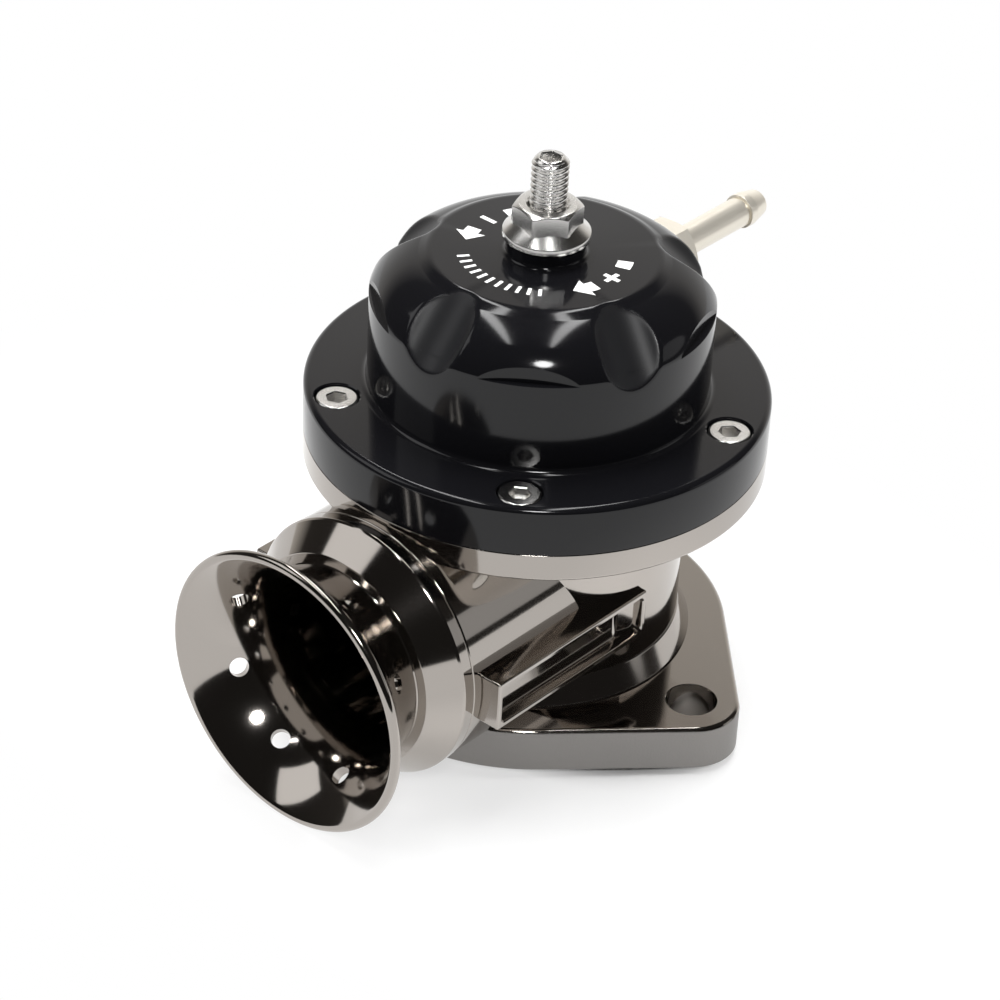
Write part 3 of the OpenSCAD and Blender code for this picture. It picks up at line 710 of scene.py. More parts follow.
@dataclass(frozen=True)
class MaskedFinish(Finish):
    """A finish with a second, duller one where the mesh's own mask is 1."""

    mask: str = "dull"
    dull_color: Color = (0.2, 0.2, 0.2)
    dull_roughness: float = 0.5
    dull_bump: float = 0.5

    def mask_socket(self, tree: Tree) -> Socket:
        """The mesh's mask."""
        return add_node(tree, "ShaderNodeAttribute", attribute_name=self.mask).outputs["Fac"]

    def roughness_socket(self, tree: Tree, grain: Node) -> Socket:
        """Roughness of the polished part, raised to the dull one by the mask."""
        polished = super().roughness_socket(tree, grain)
        return multiply_add(tree, self.mask_socket(tree), self.dull_roughness - self.roughness, polished)

    def height_socket(self, tree: Tree, grain: Node) -> Socket:
        """Height of the grain's relief, which is strong only where the mask is."""
        strength = multiply_add(tree, self.mask_socket(tree), self.dull_bump, self.bump)
        return multiply_add(tree, grain.outputs["Height"], strength, 0.0)

    def tint(self, tree: Tree, color: Socket) -> None:
        """Mixes the dull part's colour in by the mask.

        Args:
            tree: The material's tree.
            color: The shader's colour.
        """
        mix = add_node(tree, "ShaderNodeMix", data_type="RGBA")
        first, second = (socket for socket in mix.inputs if socket.type == "RGBA")
        first.default_value = (*self.color, 1.0)
        second.default_value = (*self.dull_color, 1.0)
        tree.links.new(self.mask_socket(tree), mix.inputs["Factor"])
        tree.links.new(next(socket for socket in mix.outputs if socket.type == "RGBA"), color)


class Finishes:
    """All finishes of the valve, made once: one for each of the record's slots, and the print's."""

    table: dict[str, Finish] = {
        "gunmetal": MaskedFinish(
            "polished_gunmetal", (0.42, 0.39, 0.36), 0.085, spread=0.03, bump=0.001, bump_height=0.00006,
            dull_color=(0.25, 0.24, 0.23), dull_roughness=0.42, dull_bump=1.0),
        "gloss_black": MaskedFinish(
            "gloss_black_anodised", (0.005, 0.005, 0.006), 0.1, metallic=0.0, spread=0.03, bump=0.001,
            bump_height=0.00005, specular=0.4, dull_color=(0.009, 0.009, 0.01), dull_roughness=0.4,
            dull_bump=0.12),
        "stainless": Finish("bright_stainless", (0.80, 0.79, 0.77), 0.23, spread=0.06, bump=0.02),
        "nickel": Finish("satin_nickel", (0.86, 0.81, 0.71), 0.32, metallic=0.75, spread=0.05, bump=0.01),
        "alloy": Finish("turned_alloy", (0.62, 0.63, 0.64), 0.3, spread=0.1, bump=0.05),
        "bronze": Finish("bearing_bronze", (0.55, 0.36, 0.16), 0.34, spread=0.1, bump=0.05),
        "copper": Finish("soft_copper", (0.72, 0.40, 0.27), 0.32, spread=0.1, bump=0.05),
        "rubber": Finish("black_rubber", (0.02, 0.02, 0.021), 0.62, metallic=0.0, fine_scale=1800.0,
                         spread=0.1, bump=0.25),
        "print": Finish("white_print", (0.85, 0.85, 0.84), 0.45, metallic=0.0, spread=0.1, bump=0.05)}

    def __init__(self) -> None:
        """Builds the materials."""
        self.made = {key: finish.build() for key, finish in self.table.items()}

    def dress(self, mesh: Mesh, finish: str) -> None:
        """Makes a finish the only one of a mesh."""
        mesh.materials.clear()
        mesh.materials.append(self.made[finish])

    def deliver(self, obj: Object, body: Body, slot: str, *nodes: str, finish: str | None = None) -> None:
        """Dresses a finished piece and hands it to the frame.

        Args:
            obj: The piece, with a plain mesh.
            body: Body that it rides on.
            slot: The record's material slot.
            nodes: CAD nodes that it stands for.
            finish: Finish of the piece, where it isn't its slot's.
        """
        self.dress(obj.data, finish or slot)
        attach(obj, body.value)
        if nodes:
            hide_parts(*nodes)
        log.info("%s rides on %s: %d faces", obj.name, body.value, len(obj.data.polygons))

    def dress_inner_pieces(self, frame: dict[str, Any]) -> None:
        """Gives every CAD node its finish.

        Args:
            frame: The loaded frame.
        """
        for part in frame["record"]["subparts"]:
            self.dress(frame["nodes"][part["node"]].data, part["material_slot"])
            log.info("%s is %s", part["node"], part["material_slot"])


# Sub-assemblies, with sizes in millimetres and directions in degrees


@dataclass
class SubAssembly:
    """One sub-assembly of the valve, with what all of them use."""

    finishes: Finishes
    rings: RingArray


@dataclass
class ValveBody(SubAssembly):
    """The casting: inlet flange, neck, outlet tube, side ribs and upper flange."""

    flange_t: float = 8.0
    flange_r: float = 34.0
    flange_round: float = 0.8
    flange_bevel: float = 0.25
    bolt_reach: float = 36.2
    bolt_r: float = 4.2
    bolt_bevel: float = 0.1
    ear_r: float = 8.0
    foot_r: float = 27.7
    foot_h: float = 4.1
    foot_edge: float = 0.3
    foot_blend: float = 0.6
    foot_lip: Point = (0.15, 0.1)
    neck_r: float = 25.5
    neck_fillet: float = 2.4
    height: float = 45.2
    rim_r: float = 38.0
    rim_t: float = 4.8
    rim_round: float = 0.6
    seam_round: float = 0.15
    tube_r: float = 22.3
    tube_z: float = 21.4
    tube_len: float = 38.7
    edge: float = 0.35
    bore_r: float = 14.2
    bore_gap: float = 2.0
    rib_y: float = 26.6
    rib_h: float = 8.8
    rib_front: float = 37.7
    rib_back: float = 1.4
    rib_root: float = 13.5
    rib_rim: float = 1.0
    pocket_depth: float = 2.2
    pocket_round: float = 1.0
    pocket_foot: tuple[Point, ...] = ((0.5, 0.0), (0.15, 0.15), (0.0, 0.5))
    pocket_mouth: tuple[Point, ...] = ((0.0, -0.3), (-0.12, -0.1), (-0.4, 0.2))
    chamber_r: float = 21.5
    chamber_round: float = 1.0
    floor_z: float = 7.0
    ceiling_z: float = 35.8
    partition_z: float = 38.0
    dish_r: Point = (21.8, 26.2)
    inlet_r: float = 15.0
    inlet_bevel: Point = (0.9, 0.4)
    seat_r: float = 18.0
    seat_z: float = 4.5
    spigot_r: float = 17.82
    spigot_len: float = 8.0
    guide_boss_r: float = 8.5
    guide_boss_z: float = 27.15
    guide_boss_round: float = 0.6
    stem_room_r: float = 4.5
    bush_r: float = 6.0
    bush_z: float = 28.15
    groove_r: Point = (19.25, 21.95)
    groove_depth: float = 2.32
    screws: int = 5
    screw_circle: float = 33.1
    screw_r: float = 2.02
    below_half: float = 60.0
    below_depth: float = 20.0
    cast_top: float = 0.5
    cast_margin: float = 5.0
    cast_face: float = 0.05
    arc_steps: int = 40
    turned_steps: int = 224
    bored_steps: int = 160
    hole_steps: int = 96

    def flange_outline(self, inset: float) -> list[Point]:
        """Outline of the inlet flange, drawn in by an inset.

        Args:
            inset: Distance inside the true outline.

        Returns:
            The points, anticlockwise.
        """
        lean = math.acos((self.flange_r - self.ear_r) / self.bolt_reach)
        points: list[Point] = []
        for turn, side in enumerate((0, 1, 0, -1)):
            radius = (self.ear_r if side else self.flange_r) - inset
            half = lean if side else math.pi / 2 - lean
            for k in range(self.arc_steps + 1):
                angle = turn * math.pi / 2 - half + 2 * half * k / self.arc_steps
                points.append((radius * math.cos(angle), side * self.bolt_reach + radius * math.sin(angle)))
        return points

    def flange(self) -> Mesh:
        """Inlet flange with a rounded upper edge and a bevel below.

        Returns:
            The mesh.
        """
        sides = [(self.flange_bevel, 0.0), (0.0, self.flange_bevel)]
        sides += [(inset, self.flange_t - drop) for inset, drop in edge_round(self.flange_round, steps=6)]
        return stacked("flange", [flat_loop(self.flange_outline(inset), z) for inset, z in sides])

    def neck(self) -> Mesh:
        """Foot, neck and upper flange as one turned shape.

        Returns:
            The mesh.
        """
        top, foot_top, under = self.flange_t, self.flange_t + self.foot_h, self.height - self.rim_t
        lip_out, lip_up = self.foot_lip
        corners = [(0, top - PAST), (self.foot_r, top - PAST),
                   (self.foot_r, top + self.foot_edge, self.foot_edge),
                   (self.neck_r + lip_out, foot_top, self.foot_blend), (self.neck_r, foot_top + lip_up),
                   (self.neck_r, under, self.neck_fillet), (self.rim_r, under, self.rim_round),
                   (self.rim_r, self.height, self.seam_round), (0, self.height)]
        return revolved("neck", corners, self.turned_steps, step=6.0)

    def along_tube(self) -> Matrix:
        """Place of shapes that are turned about the tube's axis, from its outer face."""
        return placed(-self.tube_len, 0, self.tube_z, -90)

    def tube(self) -> Mesh:
        """Outlet tube from its face to the valve's axis."""
        corners = [(0, -self.tube_len), (self.tube_r, -self.tube_len), (self.tube_r, 0, self.edge), (0, 0)]
        return revolved("tube", corners, self.turned_steps, self.along_tube())

    def rib(self, side: int) -> Mesh:
        """One side rib with the pocket in its outer face.

        Args:
            side: 1 for the left rib, -1 for the right one.

        Returns:
            The mesh.
        """
        wide, tall = (self.rib_front - self.rib_back) / 2, self.rib_h / 2
        place = placed(-(self.rib_front + self.rib_back) / 2, 0, self.tube_z, -90 * side, "X")
        outline = rectangle(-wide, -tall, wide, tall, self.edge)
        loops = [flat_loop(outline, self.rib_root)]
        loops += [flat_loop(outline, self.rib_y - drop) * (1 - inset / wide, 1 - inset / tall, 1)
                  for inset, drop in edge_round(self.edge, steps=4)]
        rib = object_of(stacked("rib", loops, place))
        wide, tall = wide - self.rib_rim, tall - self.rib_rim
        outline = rectangle(-wide, -tall, wide, tall, self.pocket_round)
        floor = self.rib_y - self.pocket_depth
        steps = [(inset, floor + rise) for inset, rise in self.pocket_foot]
        steps += [(inset, self.rib_y + rise) for inset, rise in self.pocket_mouth]
        loops = [flat_loop(outline, z) * (1 - inset / wide, 1 - inset / tall, 1) for inset, z in steps]
        combine(rib, stacked("pocket", loops, place), Cut.REMOVE)
        return taken(rib)

    def hollow(self) -> list[Mesh]:
        """Everything that is bored out of the casting.

        Returns:
            Closed meshes to cut away, in order.
        """
        boss_r, boss_z, fillet = self.guide_boss_r, self.guide_boss_z, self.chamber_round
        chamber = [(0, self.floor_z), (self.chamber_r, self.floor_z, fillet),
                   (self.chamber_r, self.ceiling_z, fillet), (boss_r, self.ceiling_z, fillet),
                   (boss_r, boss_z, self.guide_boss_round), (0, boss_z)]
        low_r, high_r = self.dish_r
        upper = [(0, boss_z - PAST), (self.stem_room_r, boss_z - PAST), (self.stem_room_r, self.bush_z),
                 (self.bush_r, self.bush_z), (self.bush_r, self.partition_z), (low_r, self.partition_z),
                 (high_r, self.height), (high_r, self.height + PAST), (0, self.height + PAST)]
        lead_out, lead_up = self.inlet_bevel
        seat_top = self.floor_z + PAST / 2
        inlet = [(0, -PAST), (self.inlet_r + lead_out, -PAST), (self.inlet_r, lead_up),
                 (self.inlet_r, self.seat_z), (self.seat_r, self.seat_z), (self.seat_r, seat_top),
                 (0, seat_top)]
        groove = rectangle(self.groove_r[0], -PAST, self.groove_r[1], self.groove_depth)
        steps, along = self.bored_steps, self.along_tube()
        bore_end = boss_r + self.bore_gap - self.tube_len
        meshes = [revolved("chamber", chamber, steps), revolved("upper_room", upper, steps),
                  cylinder("bore", self.bore_r, bore_end, PAST, along, steps),
                  cylinder("spigot_bore", self.spigot_r, -self.spigot_len, PAST, along, steps),
                  revolved("inlet", inlet, steps), revolved("groove", groove, steps)]
        bevel, top = self.bolt_bevel, self.flange_t
        wide = self.bolt_r + bevel + PAST
        bolt = [(0, -PAST), (wide, -PAST), (self.bolt_r, bevel), (self.bolt_r, top - bevel),
                (wide, top + PAST), (0, top + PAST)]
        for side in (-1, 1):
            spot = placed(0, side * self.bolt_reach, 0)
            meshes.append(revolved("bolt_hole", bolt, self.hole_steps, spot))
        under = self.height - self.rim_t - PAST
        for k in range(self.screws):
            spot = placed(*polar(self.screw_circle, 360.0 * k / self.screws), 0)
            meshes.append(cylinder("screw_hole", self.screw_r, under, self.height + PAST, spot))
        return meshes

    def build(self) -> None:
        """Makes the casting and marks the parts of it that were left as cast."""
        shell = object_of(self.flange())
        shell.name = "body_casting"
        for mesh in (self.neck(), self.tube(), self.rib(-1), self.rib(1)):
            combine(shell, mesh, Cut.JOIN)
        half = self.below_half
        below = prism("below", rectangle(-half, -half, half, half), -self.below_depth, 0.0)
        for mesh in (below, *self.hollow()):
            combine(shell, mesh, Cut.REMOVE)
        smooth(shell)
        weighted(shell)
        x, y, z = vertex_array(shell).T
        outside = np.hypot(x, y) > self.groove_r[1] + self.cast_margin
        side_wall = (z < self.flange_t - self.cast_top) & outside
        hole = np.hypot(x, np.abs(y) - self.bolt_reach) < self.bolt_r + PAST
        mark(shell, "dull", ((side_wall & ~hole) | (z < self.cast_face)).astype(float))
        self.finishes.deliver(shell, Body.HOUSING, "gunmetal", "body")


@dataclass
class Trumpet(SubAssembly):
    """The flared outlet with its collar, spigot and ring of holes."""

    face_x: float = -38.7
    axis_z: float = 21.4
    length: float = 20.0
    mouth_r: float = 22.95
    throat_r: float = 14.2
    throat_round: float = 0.3
    wall: float = 1.7
    flare_start: float = 1.3
    collar_r: float = 22.4
    collar_len: float = 2.5
    collar_round: float = 0.3
    collar_bevel: Point = (0.25, 0.4)
    cone_foot_r: float = 18.4
    cone_len: float = 4.4
    cone_round: float = 0.35
    foot_step: Point = (0.1, 0.05)
    foot_gap: float = 0.3
    spigot_r: float = 17.8
    spigot_len: float = 8.0
    spigot_round: float = 0.4
    groove_r: float = 16.3
    groove_half: float = 1.0
    holes: int = 8
    hole_r: float = 1.6
    hole_inset: float = 6.6
    flare_steps: int = 44
    lip_steps: int = 16
    back_steps: int = 36
    turned_steps: int = 256
    hole_steps: int = 48

    def __post_init__(self) -> None:
        """Works out the flare's arc from the throat and the mouth."""
        rise = self.mouth_r - self.throat_r
        self.run = self.length - self.flare_start
        self.arc_r = (self.run ** 2 + rise ** 2) / (2 * rise)
        self.arc_c = self.throat_r + self.arc_r
        self.angle = math.asin(self.run / self.arc_r)

    def arc(self, radius: float, start: float, end: float, pieces: int) -> list[Point]:
        """Points on an arc about the flare's centre.

        Args:
            radius: The arc's radius.
            start: First angle from the throat, in radians.
            end: Last angle from the throat, in radians.
            pieces: Number of steps.

        Returns:
            Points as radius and distance from the collar's face.
        """
        angles = [start + (end - start) * k / pieces for k in range(pieces + 1)]
        return [(self.arc_c - radius * math.cos(a), self.flare_start + radius * math.sin(a))
                for a in angles]

    def outline(self) -> list[Point]:
        """Closed section of the trumpet.

        Returns:
            Points as radius and distance from the collar's face.
        """
        foot = self.collar_len + self.cone_len
        outer_r, lip_r = self.arc_r - self.wall, self.wall / 2
        foot_angle = math.asin((foot + self.foot_gap - self.flare_start) / outer_r)
        inner = self.arc(self.arc_r, 0.0, self.angle, self.flare_steps)
        lip_x, lip_y = self.arc(self.arc_r - lip_r, self.angle, self.angle, 1)[0]
        turns = [math.pi - self.angle - math.pi * k / self.lip_steps for k in range(1, self.lip_steps)]
        lip = [(lip_x + lip_r * math.cos(a), lip_y + lip_r * math.sin(a)) for a in turns]
        outer = self.arc(outer_r, self.angle, foot_angle, self.back_steps)
        step_out, step_up = self.foot_step
        bevel_in, bevel_down = self.collar_bevel
        groove_high = self.groove_half - self.spigot_len / 2
        groove_low = groove_high - 2 * self.groove_half
        back = [(outer[-1][0] + step_out, foot + step_up), (self.cone_foot_r, foot, self.cone_round),
                (self.collar_r - bevel_in, self.collar_len, self.cone_round),
                (self.collar_r, self.collar_len - bevel_down, self.collar_round),
                (self.collar_r, 0.0, self.collar_round), (self.spigot_r, 0.0),
                (self.spigot_r, groove_high), (self.groove_r, groove_high),
                (self.groove_r, groove_low), (self.spigot_r, groove_low),
                (self.spigot_r, -self.spigot_len, self.spigot_round),
                (self.throat_r, -self.spigot_len, self.throat_round)]
        return inner + lip + outer + rounded_outline(back)

    def build(self) -> None:
        """Turns the trumpet and drills its holes square to the flare's wall."""
        place = placed(self.face_x, 0, self.axis_z, -90)
        horn = object_of(revolved("trumpet_horn", self.outline(), self.turned_steps, place))
        slope = math.asin((self.run - self.hole_inset) / self.arc_r)
        square = placed(self.arc_c, 0, self.flare_start, math.degrees(slope) - 90)
        drill = cylinder("drill", self.hole_r, self.arc_r - 3 * self.wall, self.arc_r + 2 * self.wall,
                         square, self.hole_steps)
        drills = taken(self.rings.ring("drills", drill, self.holes, 0.0, 180.0 / self.holes))
        metres = place.copy()
        metres.translation *= MM
        drills.transform(metres)
        combine(horn, drills, Cut.REMOVE)
        smooth(horn)
        weighted(horn)
        self.finishes.deliver(horn, Body.HOUSING, "gunmetal", "trumpet")


@dataclass
class Cover(SubAssembly):
    """The scalloped spring cover, its screws and the print on its top."""

    base_z: float = 45.2
    rim_r: float = 38.0
    rim_t: float = 8.5
    rim_round: float = 1.1
    seam_round: float = 0.2
    dome_r: float = 27.8
    dome_fillet: float = 1.1
    dome_h: float = 24.0
    wall_h: float = 16.0
    wall_row: float = 0.3
    shoulder_r: float = 10.95
    shoulder_steps: int = 46
    # How far short of level the shoulder's arc ends, in radians
    shoulder_stop: float = 0.12
    plateau_r: float = 18.0
    plateau_step: float = 0.55
    plateau_start: float = 1.9
    plateau_edge: float = 0.5
    plateau_round: float = 2.6
    plateau_slope: Point = (3.0, 1.2)
    hub_r: float = 6.35
    hub_h: float = 2.8
    hub_fillet: float = 0.8
    hub_round: float = 0.35
    hub_bore_r: float = 3.04
    hub_bore_round: float = 0.25
    cavity_r: float = 24.4
    cavity_top: float = 19.8
    cavity_bevel: float = 8.6
    recess_r: float = 29.82
    recess_h: float = 1.2
    scallops: int = 5
    scallop_r: float = 7.5
    scallop_low: float = 13.5
    scallop_high_r: float = 19.0
    scallop_turn: float = 36.0
    scallop_edge: float = 0.4
    scallop_deepest: float = 7.0
    scallop_least: float = 1e-6
    scallop_halvings: int = 40
    scallop_zone: Point = (13.0, 8.0)
    dull_from: float = 0.05
    dull_over: float = 0.2
    flat_depth: float = 1.15
    flat_h: float = 15.7
    flat_cut: float = 20.0
    flat_aligned: float = 0.9999
    flat_match: float = 0.01
    screws: int = 5
    screw_circle: float = 33.1
    screw_head_r: float = 3.5
    screw_head_h: float = 3.8
    screw_head_round: float = 0.45
    screw_seat_round: float = 0.2
    screw_shank_r: float = 2.0
    screw_tip: float = 4.8
    screw_tip_round: float = 0.4
    screw_socket: float = 3.0
    screw_socket_depth: float = 2.1
    screw_socket_points: int = 24
    screw_socket_flare: float = 1.16
    screw_socket_lead: Point = (0.18, 0.1)
    screw_sink: float = 0.25
    screw_gap: float = 0.2
    screw_bevel: float = 0.2
    nipple_h: float = 11.0
    nipple_seat_x: float = 26.9
    nipple_seat_r: float = 6.5
    nipple_seat_out: float = 4.0
    nipple_hole_r: float = 4.02
    nipple_hole_in: float = 6.0
    print_r: float = 12.9
    print_t: float = 0.03
    arrow_half: float = 1.25
    arrow_tail: Point = (60.0, 70.0)
    arrow_stem: Point = (102.0, 109.0)
    arrow_tip: float = 120.0
    sign_x: float = 0.9
    sign_half: float = 1.5
    stroke_half: float = 0.4
    ticks: int = 11
    tick_half: Point = (1.0, 0.28)
    tick_out: float = 0.4
    tick_start: float = 143.0
    tick_step: float = 7.4
    arc_step: float = 7.5
    segments: int = 520
    turned_steps: int = 72

    def __post_init__(self) -> None:
        """Works out the rim's top and the shoulder's centre."""
        self.rim_top = self.base_z + self.rim_t
        self.shoulder_h = self.dome_h - self.plateau_step - self.shoulder_r
        self.shoulder_rise = self.wall_h - self.shoulder_h
        self.shoulder_c = self.dome_r - math.sqrt(self.shoulder_r ** 2 - self.shoulder_rise ** 2)

    def shoulder(self) -> list[Point]:
        """Points of the shoulder's arc from the wall almost to its level top.

        Returns:
            Points as radius and height above the rim.
        """
        start = math.asin(self.shoulder_rise / self.shoulder_r)
        span = math.pi / 2 - self.shoulder_stop - start
        angles = [start + span * k / self.shoulder_steps for k in range(self.shoulder_steps + 1)]
        return [(self.shoulder_c + self.shoulder_r * math.cos(a),
                 self.shoulder_h + self.shoulder_r * math.sin(a)) for a in angles]

    def skin(self) -> list[Point]:
        """Outer section from the rim's lower edge to the hub's bore.

        Returns:
            Points as radius and height.
        """
        low = rounded_outline([(0.0, -self.rim_t), (self.rim_r, -self.rim_t, self.seam_round),
                               (self.rim_r, 0.0, self.rim_round), (self.dome_r, 0.0, self.dome_fillet),
                               (self.dome_r, self.wall_h), (0.0, self.wall_h)], self.arc_step)[1:-2]
        start = low[-1][1]
        rows = math.ceil((self.wall_h - start) / self.wall_row)
        wall = [(self.dome_r, start + (self.wall_h - start) * k / rows) for k in range(1, rows)]
        shoulder = [p for p in self.shoulder() if p[0] > self.plateau_r + self.plateau_start]
        level, top = self.dome_h, self.dome_h + self.hub_h
        slope_out, slope_down = self.plateau_slope
        high = rounded_outline([(self.plateau_r + slope_out, level - slope_down),
                                (self.plateau_r + self.plateau_edge, level, self.plateau_round),
                                (self.hub_r, level, self.hub_fillet), (self.hub_r, top, self.hub_round),
                                (self.hub_bore_r, top, self.hub_bore_round), (self.hub_bore_r, level)],
                               self.arc_step)[1:]
        return [(r, self.rim_top + h) for r, h in low + wall + shoulder + high]

    def inside(self) -> list[Point]:
        """Inner section from the hub's bore back to the rim's lower face.

        Returns:
            Points as radius and height.
        """
        top, recess = self.rim_top + self.cavity_top, self.base_z + self.recess_h
        return [(self.hub_bore_r, top), (self.cavity_r - self.cavity_bevel, top),
                (self.cavity_r, top - self.cavity_bevel), (self.cavity_r, recess),
                (self.recess_r, recess), (self.recess_r, self.base_z)]

    def scallop_depth(self, points: np.ndarray, normals: np.ndarray) -> np.ndarray:
        """How far each point of the plain dome sinks into its nearest scallop.

        Args:
            points: Points of the plain dome, in millimetres.
            normals: Outward normals at the points.

        Returns:
            One depth per point, with the scallop's edge rounded.
        """
        high_h = math.sqrt(self.shoulder_r ** 2 - (self.scallop_high_r - self.shoulder_c) ** 2)
        low = np.array([self.dome_r, self.scallop_low])
        high = np.array([self.scallop_high_r, self.shoulder_h + high_h])
        run = (high - low) / np.linalg.norm(high - low)
        axis_r, axis_h = low + np.array([run[1], -run[0]]) * self.scallop_r
        first, step = math.radians(self.scallop_turn), 2 * math.pi / self.scallops
        around = np.arctan2(points[:, 1], points[:, 0]) - first
        nearest = np.round(around / step) * step + first
        c, s = np.cos(nearest), np.sin(nearest)

        def local(v: np.ndarray) -> np.ndarray:
            """Turns vectors so that their scallop lies over the X axis."""
            return np.stack([c * v[:, 0] + s * v[:, 1], c * v[:, 1] - s * v[:, 0], v[:, 2]], 1)

        start = local(points) - np.array([axis_r, 0.0, self.rim_top + axis_h])
        inward = -local(normals)
        axis = np.array([run[0], 0.0, run[1]])

        def excess(depth: np.ndarray) -> np.ndarray:
            """How far each point lies outside the rounded surface.

            Args:
                depth: How far each point has sunk.

            Returns:
                One distance per point, positive outside.
            """
            moved = start + inward * depth[:, None]
            away = np.sqrt(np.maximum((moved ** 2).sum(1) - (moved @ axis) ** 2, 0.0))
            dome, scallop = -depth, self.scallop_r - away
            blend = np.maximum(self.scallop_edge - np.abs(dome - scallop), 0.0) / self.scallop_edge
            return np.maximum(dome, scallop) + blend ** 2 * self.scallop_edge / 4

        untouched = np.zeros(len(points))
        shallow, deep = untouched, np.full(len(points), self.scallop_deepest)
        for _ in range(self.scallop_halvings):
            middle = (shallow + deep) / 2
            outside = excess(middle) > 0
            shallow = np.where(outside, middle, shallow)
            deep = np.where(outside, deep, middle)
        return np.where(excess(untouched) > self.scallop_least, shallow, 0.0)

    def dome(self) -> tuple[Object, np.ndarray, np.ndarray]:
        """Makes the cover before its holes.

        Returns:
            The cover, the points that the scallops moved, and how dull each of them is.
        """
        skin = self.skin()
        section, count = skin + self.inside(), len(skin)
        rings = swept(section, self.segments)
        tangent = np.gradient(np.array(skin), axis=0)
        side = np.stack([tangent[:, 1], -tangent[:, 0]], 1)
        side /= np.linalg.norm(side, axis=1)[:, None]
        normals = swept(side, self.segments).reshape(-1, 3)
        outer = rings[:, :count].reshape(-1, 3)
        from_r, from_h = self.scallop_zone
        near = (outer[:, 2] > self.rim_top + from_h) & (np.hypot(outer[:, 0], outer[:, 1]) > from_r)
        depth = np.zeros(len(outer))
        depth[near] = self.scallop_depth(outer[near], normals[near])
        sunk = outer - normals * depth[:, None]
        rings[:, :count] = sunk.reshape(self.segments, count, 3)
        mesh = mesh_of("cover_shell", rings.reshape(-1, 3), ring_faces(self.segments, len(section)))
        deep = depth > self.dull_from
        dull = np.clip((depth[deep] - self.dull_from) / self.dull_over, 0.0, 1.0)
        return object_of(mesh), sunk[deep], dull

    def cutters(self) -> list[Mesh]:
        """Everything that is cut from the cover: screw holes, the nipple's seat and the flats.

        Returns:
            Closed meshes to cut away, in order.
        """
        top, under = self.rim_top, self.base_z - PAST
        floor = top - self.screw_head_h - self.screw_sink
        head_r, hole_r = self.screw_head_r + self.screw_gap, self.screw_shank_r + self.screw_gap
        bore = [(0, under), (hole_r, under), (hole_r, floor), (head_r, floor),
                (head_r, top - self.screw_bevel), (head_r + self.screw_bevel + PAST, top + PAST),
                (0, top + PAST)]
        bores = self.rings.ring("bores", revolved("bore", bore, self.turned_steps), self.screws,
                                self.screw_circle)
        seat = placed(self.nipple_seat_x, 0, top + self.nipple_h, 90)
        near, low = self.dome_r - self.flat_depth, top + self.flat_h
        flat = rectangle(near, -self.flat_cut, 2 * self.dome_r, self.flat_cut)
        turn = 360.0 / self.screws
        flats = self.rings.ring("flats", prism("flat", flat, low, low + self.flat_cut), self.screws - 1,
                                0.0, turn, turn)
        return [taken(bores), cylinder("nipple_seat", self.nipple_seat_r, 0.0, self.nipple_seat_out, seat),
                cylinder("nipple_hole", self.nipple_hole_r, -self.nipple_hole_in, PAST, seat), taken(flats)]

    def build(self) -> None:
        """Makes the cover, its screws and its print."""
        shell, sunk, dull = self.dome()
        for mesh in self.cutters():
            combine(shell, mesh, Cut.REMOVE)
        smooth(shell, sharp_angle=35.0)
        self.sharpen_flats(shell)
        mark(shell, "dull", nearest_values(vertex_array(shell), sunk, dull))
        self.finishes.deliver(shell, Body.HOUSING, "gloss_black", "cover")
        self.build_screws()
        self.build_print()

    def sharpen_flats(self, shell: Object) -> None:
        """Keeps the edges of the flats over the screws crisp.

        Args:
            shell: The cover.
        """
        work = bmesh.new()
        work.from_mesh(shell.data)
        reach = (self.dome_r - self.flat_depth) * MM
        ways = [Vector((*polar(1.0, 360.0 * k / self.screws), 0.0)) for k in range(1, self.screws)]
        flats = {f for f in work.faces for w in ways
                 if f.normal.dot(w) > self.flat_aligned
                 and abs(f.calc_center_median().dot(w) - reach) < self.flat_match * MM}
        for edge in work.edges:
            if len(flats.intersection(edge.link_faces)) == 1:
                edge.smooth = False
        work.to_mesh(shell.data)
        work.free()

    def build_screws(self) -> None:
        """Makes five socket cap screws from one turned screw."""
        head, tip = self.rim_top - self.screw_sink, self.base_z - self.screw_tip
        floor = head - self.screw_head_h
        section = [(0, tip), (self.screw_shank_r, tip, self.screw_tip_round), (self.screw_shank_r, floor),
                   (self.screw_head_r, floor, self.screw_seat_round),
                   (self.screw_head_r, head, self.screw_head_round), (0, head)]
        screw = object_of(revolved("cap_screw", section, self.turned_steps))
        socket = np.array(hexagon_points(self.screw_socket, self.screw_socket_points))
        below, above = self.screw_socket_lead
        loops = [flat_loop(socket, head - self.screw_socket_depth), flat_loop(socket, head - below),
                 flat_loop(socket * self.screw_socket_flare, head + above)]
        combine(screw, stacked("socket", loops), Cut.REMOVE)
        screws = self.rings.ring("cap_screws", taken(screw), self.screws, self.screw_circle)
        smooth(screws)
        self.finishes.deliver(screws, Body.HOUSING, "stainless", "cover_screws")

    def band(self, start: float, end: float, pieces: int = 12) -> list[Point]:
        """Outline of a stretch of an arrow's band.

        Args:
            start: Direction of one end.
            end: Direction of the other end.
            pieces: Number of steps.

        Returns:
            The points.
        """
        turns = [start + (end - start) * k / pieces for k in range(pieces + 1)]
        outer, inner = self.print_r + self.arrow_half, self.print_r - self.arrow_half
        return [polar(outer, a) for a in turns] + [polar(inner, a) for a in reversed(turns)]

    def arrow_head(self, base: float, tip: float) -> list[Point]:
        """Outline of a triangle that points along the ring, between two directions."""
        r, wide = self.print_r, 2 * self.arrow_half
        return [polar(r + wide, base), polar(r, tip), polar(r - wide, base)]

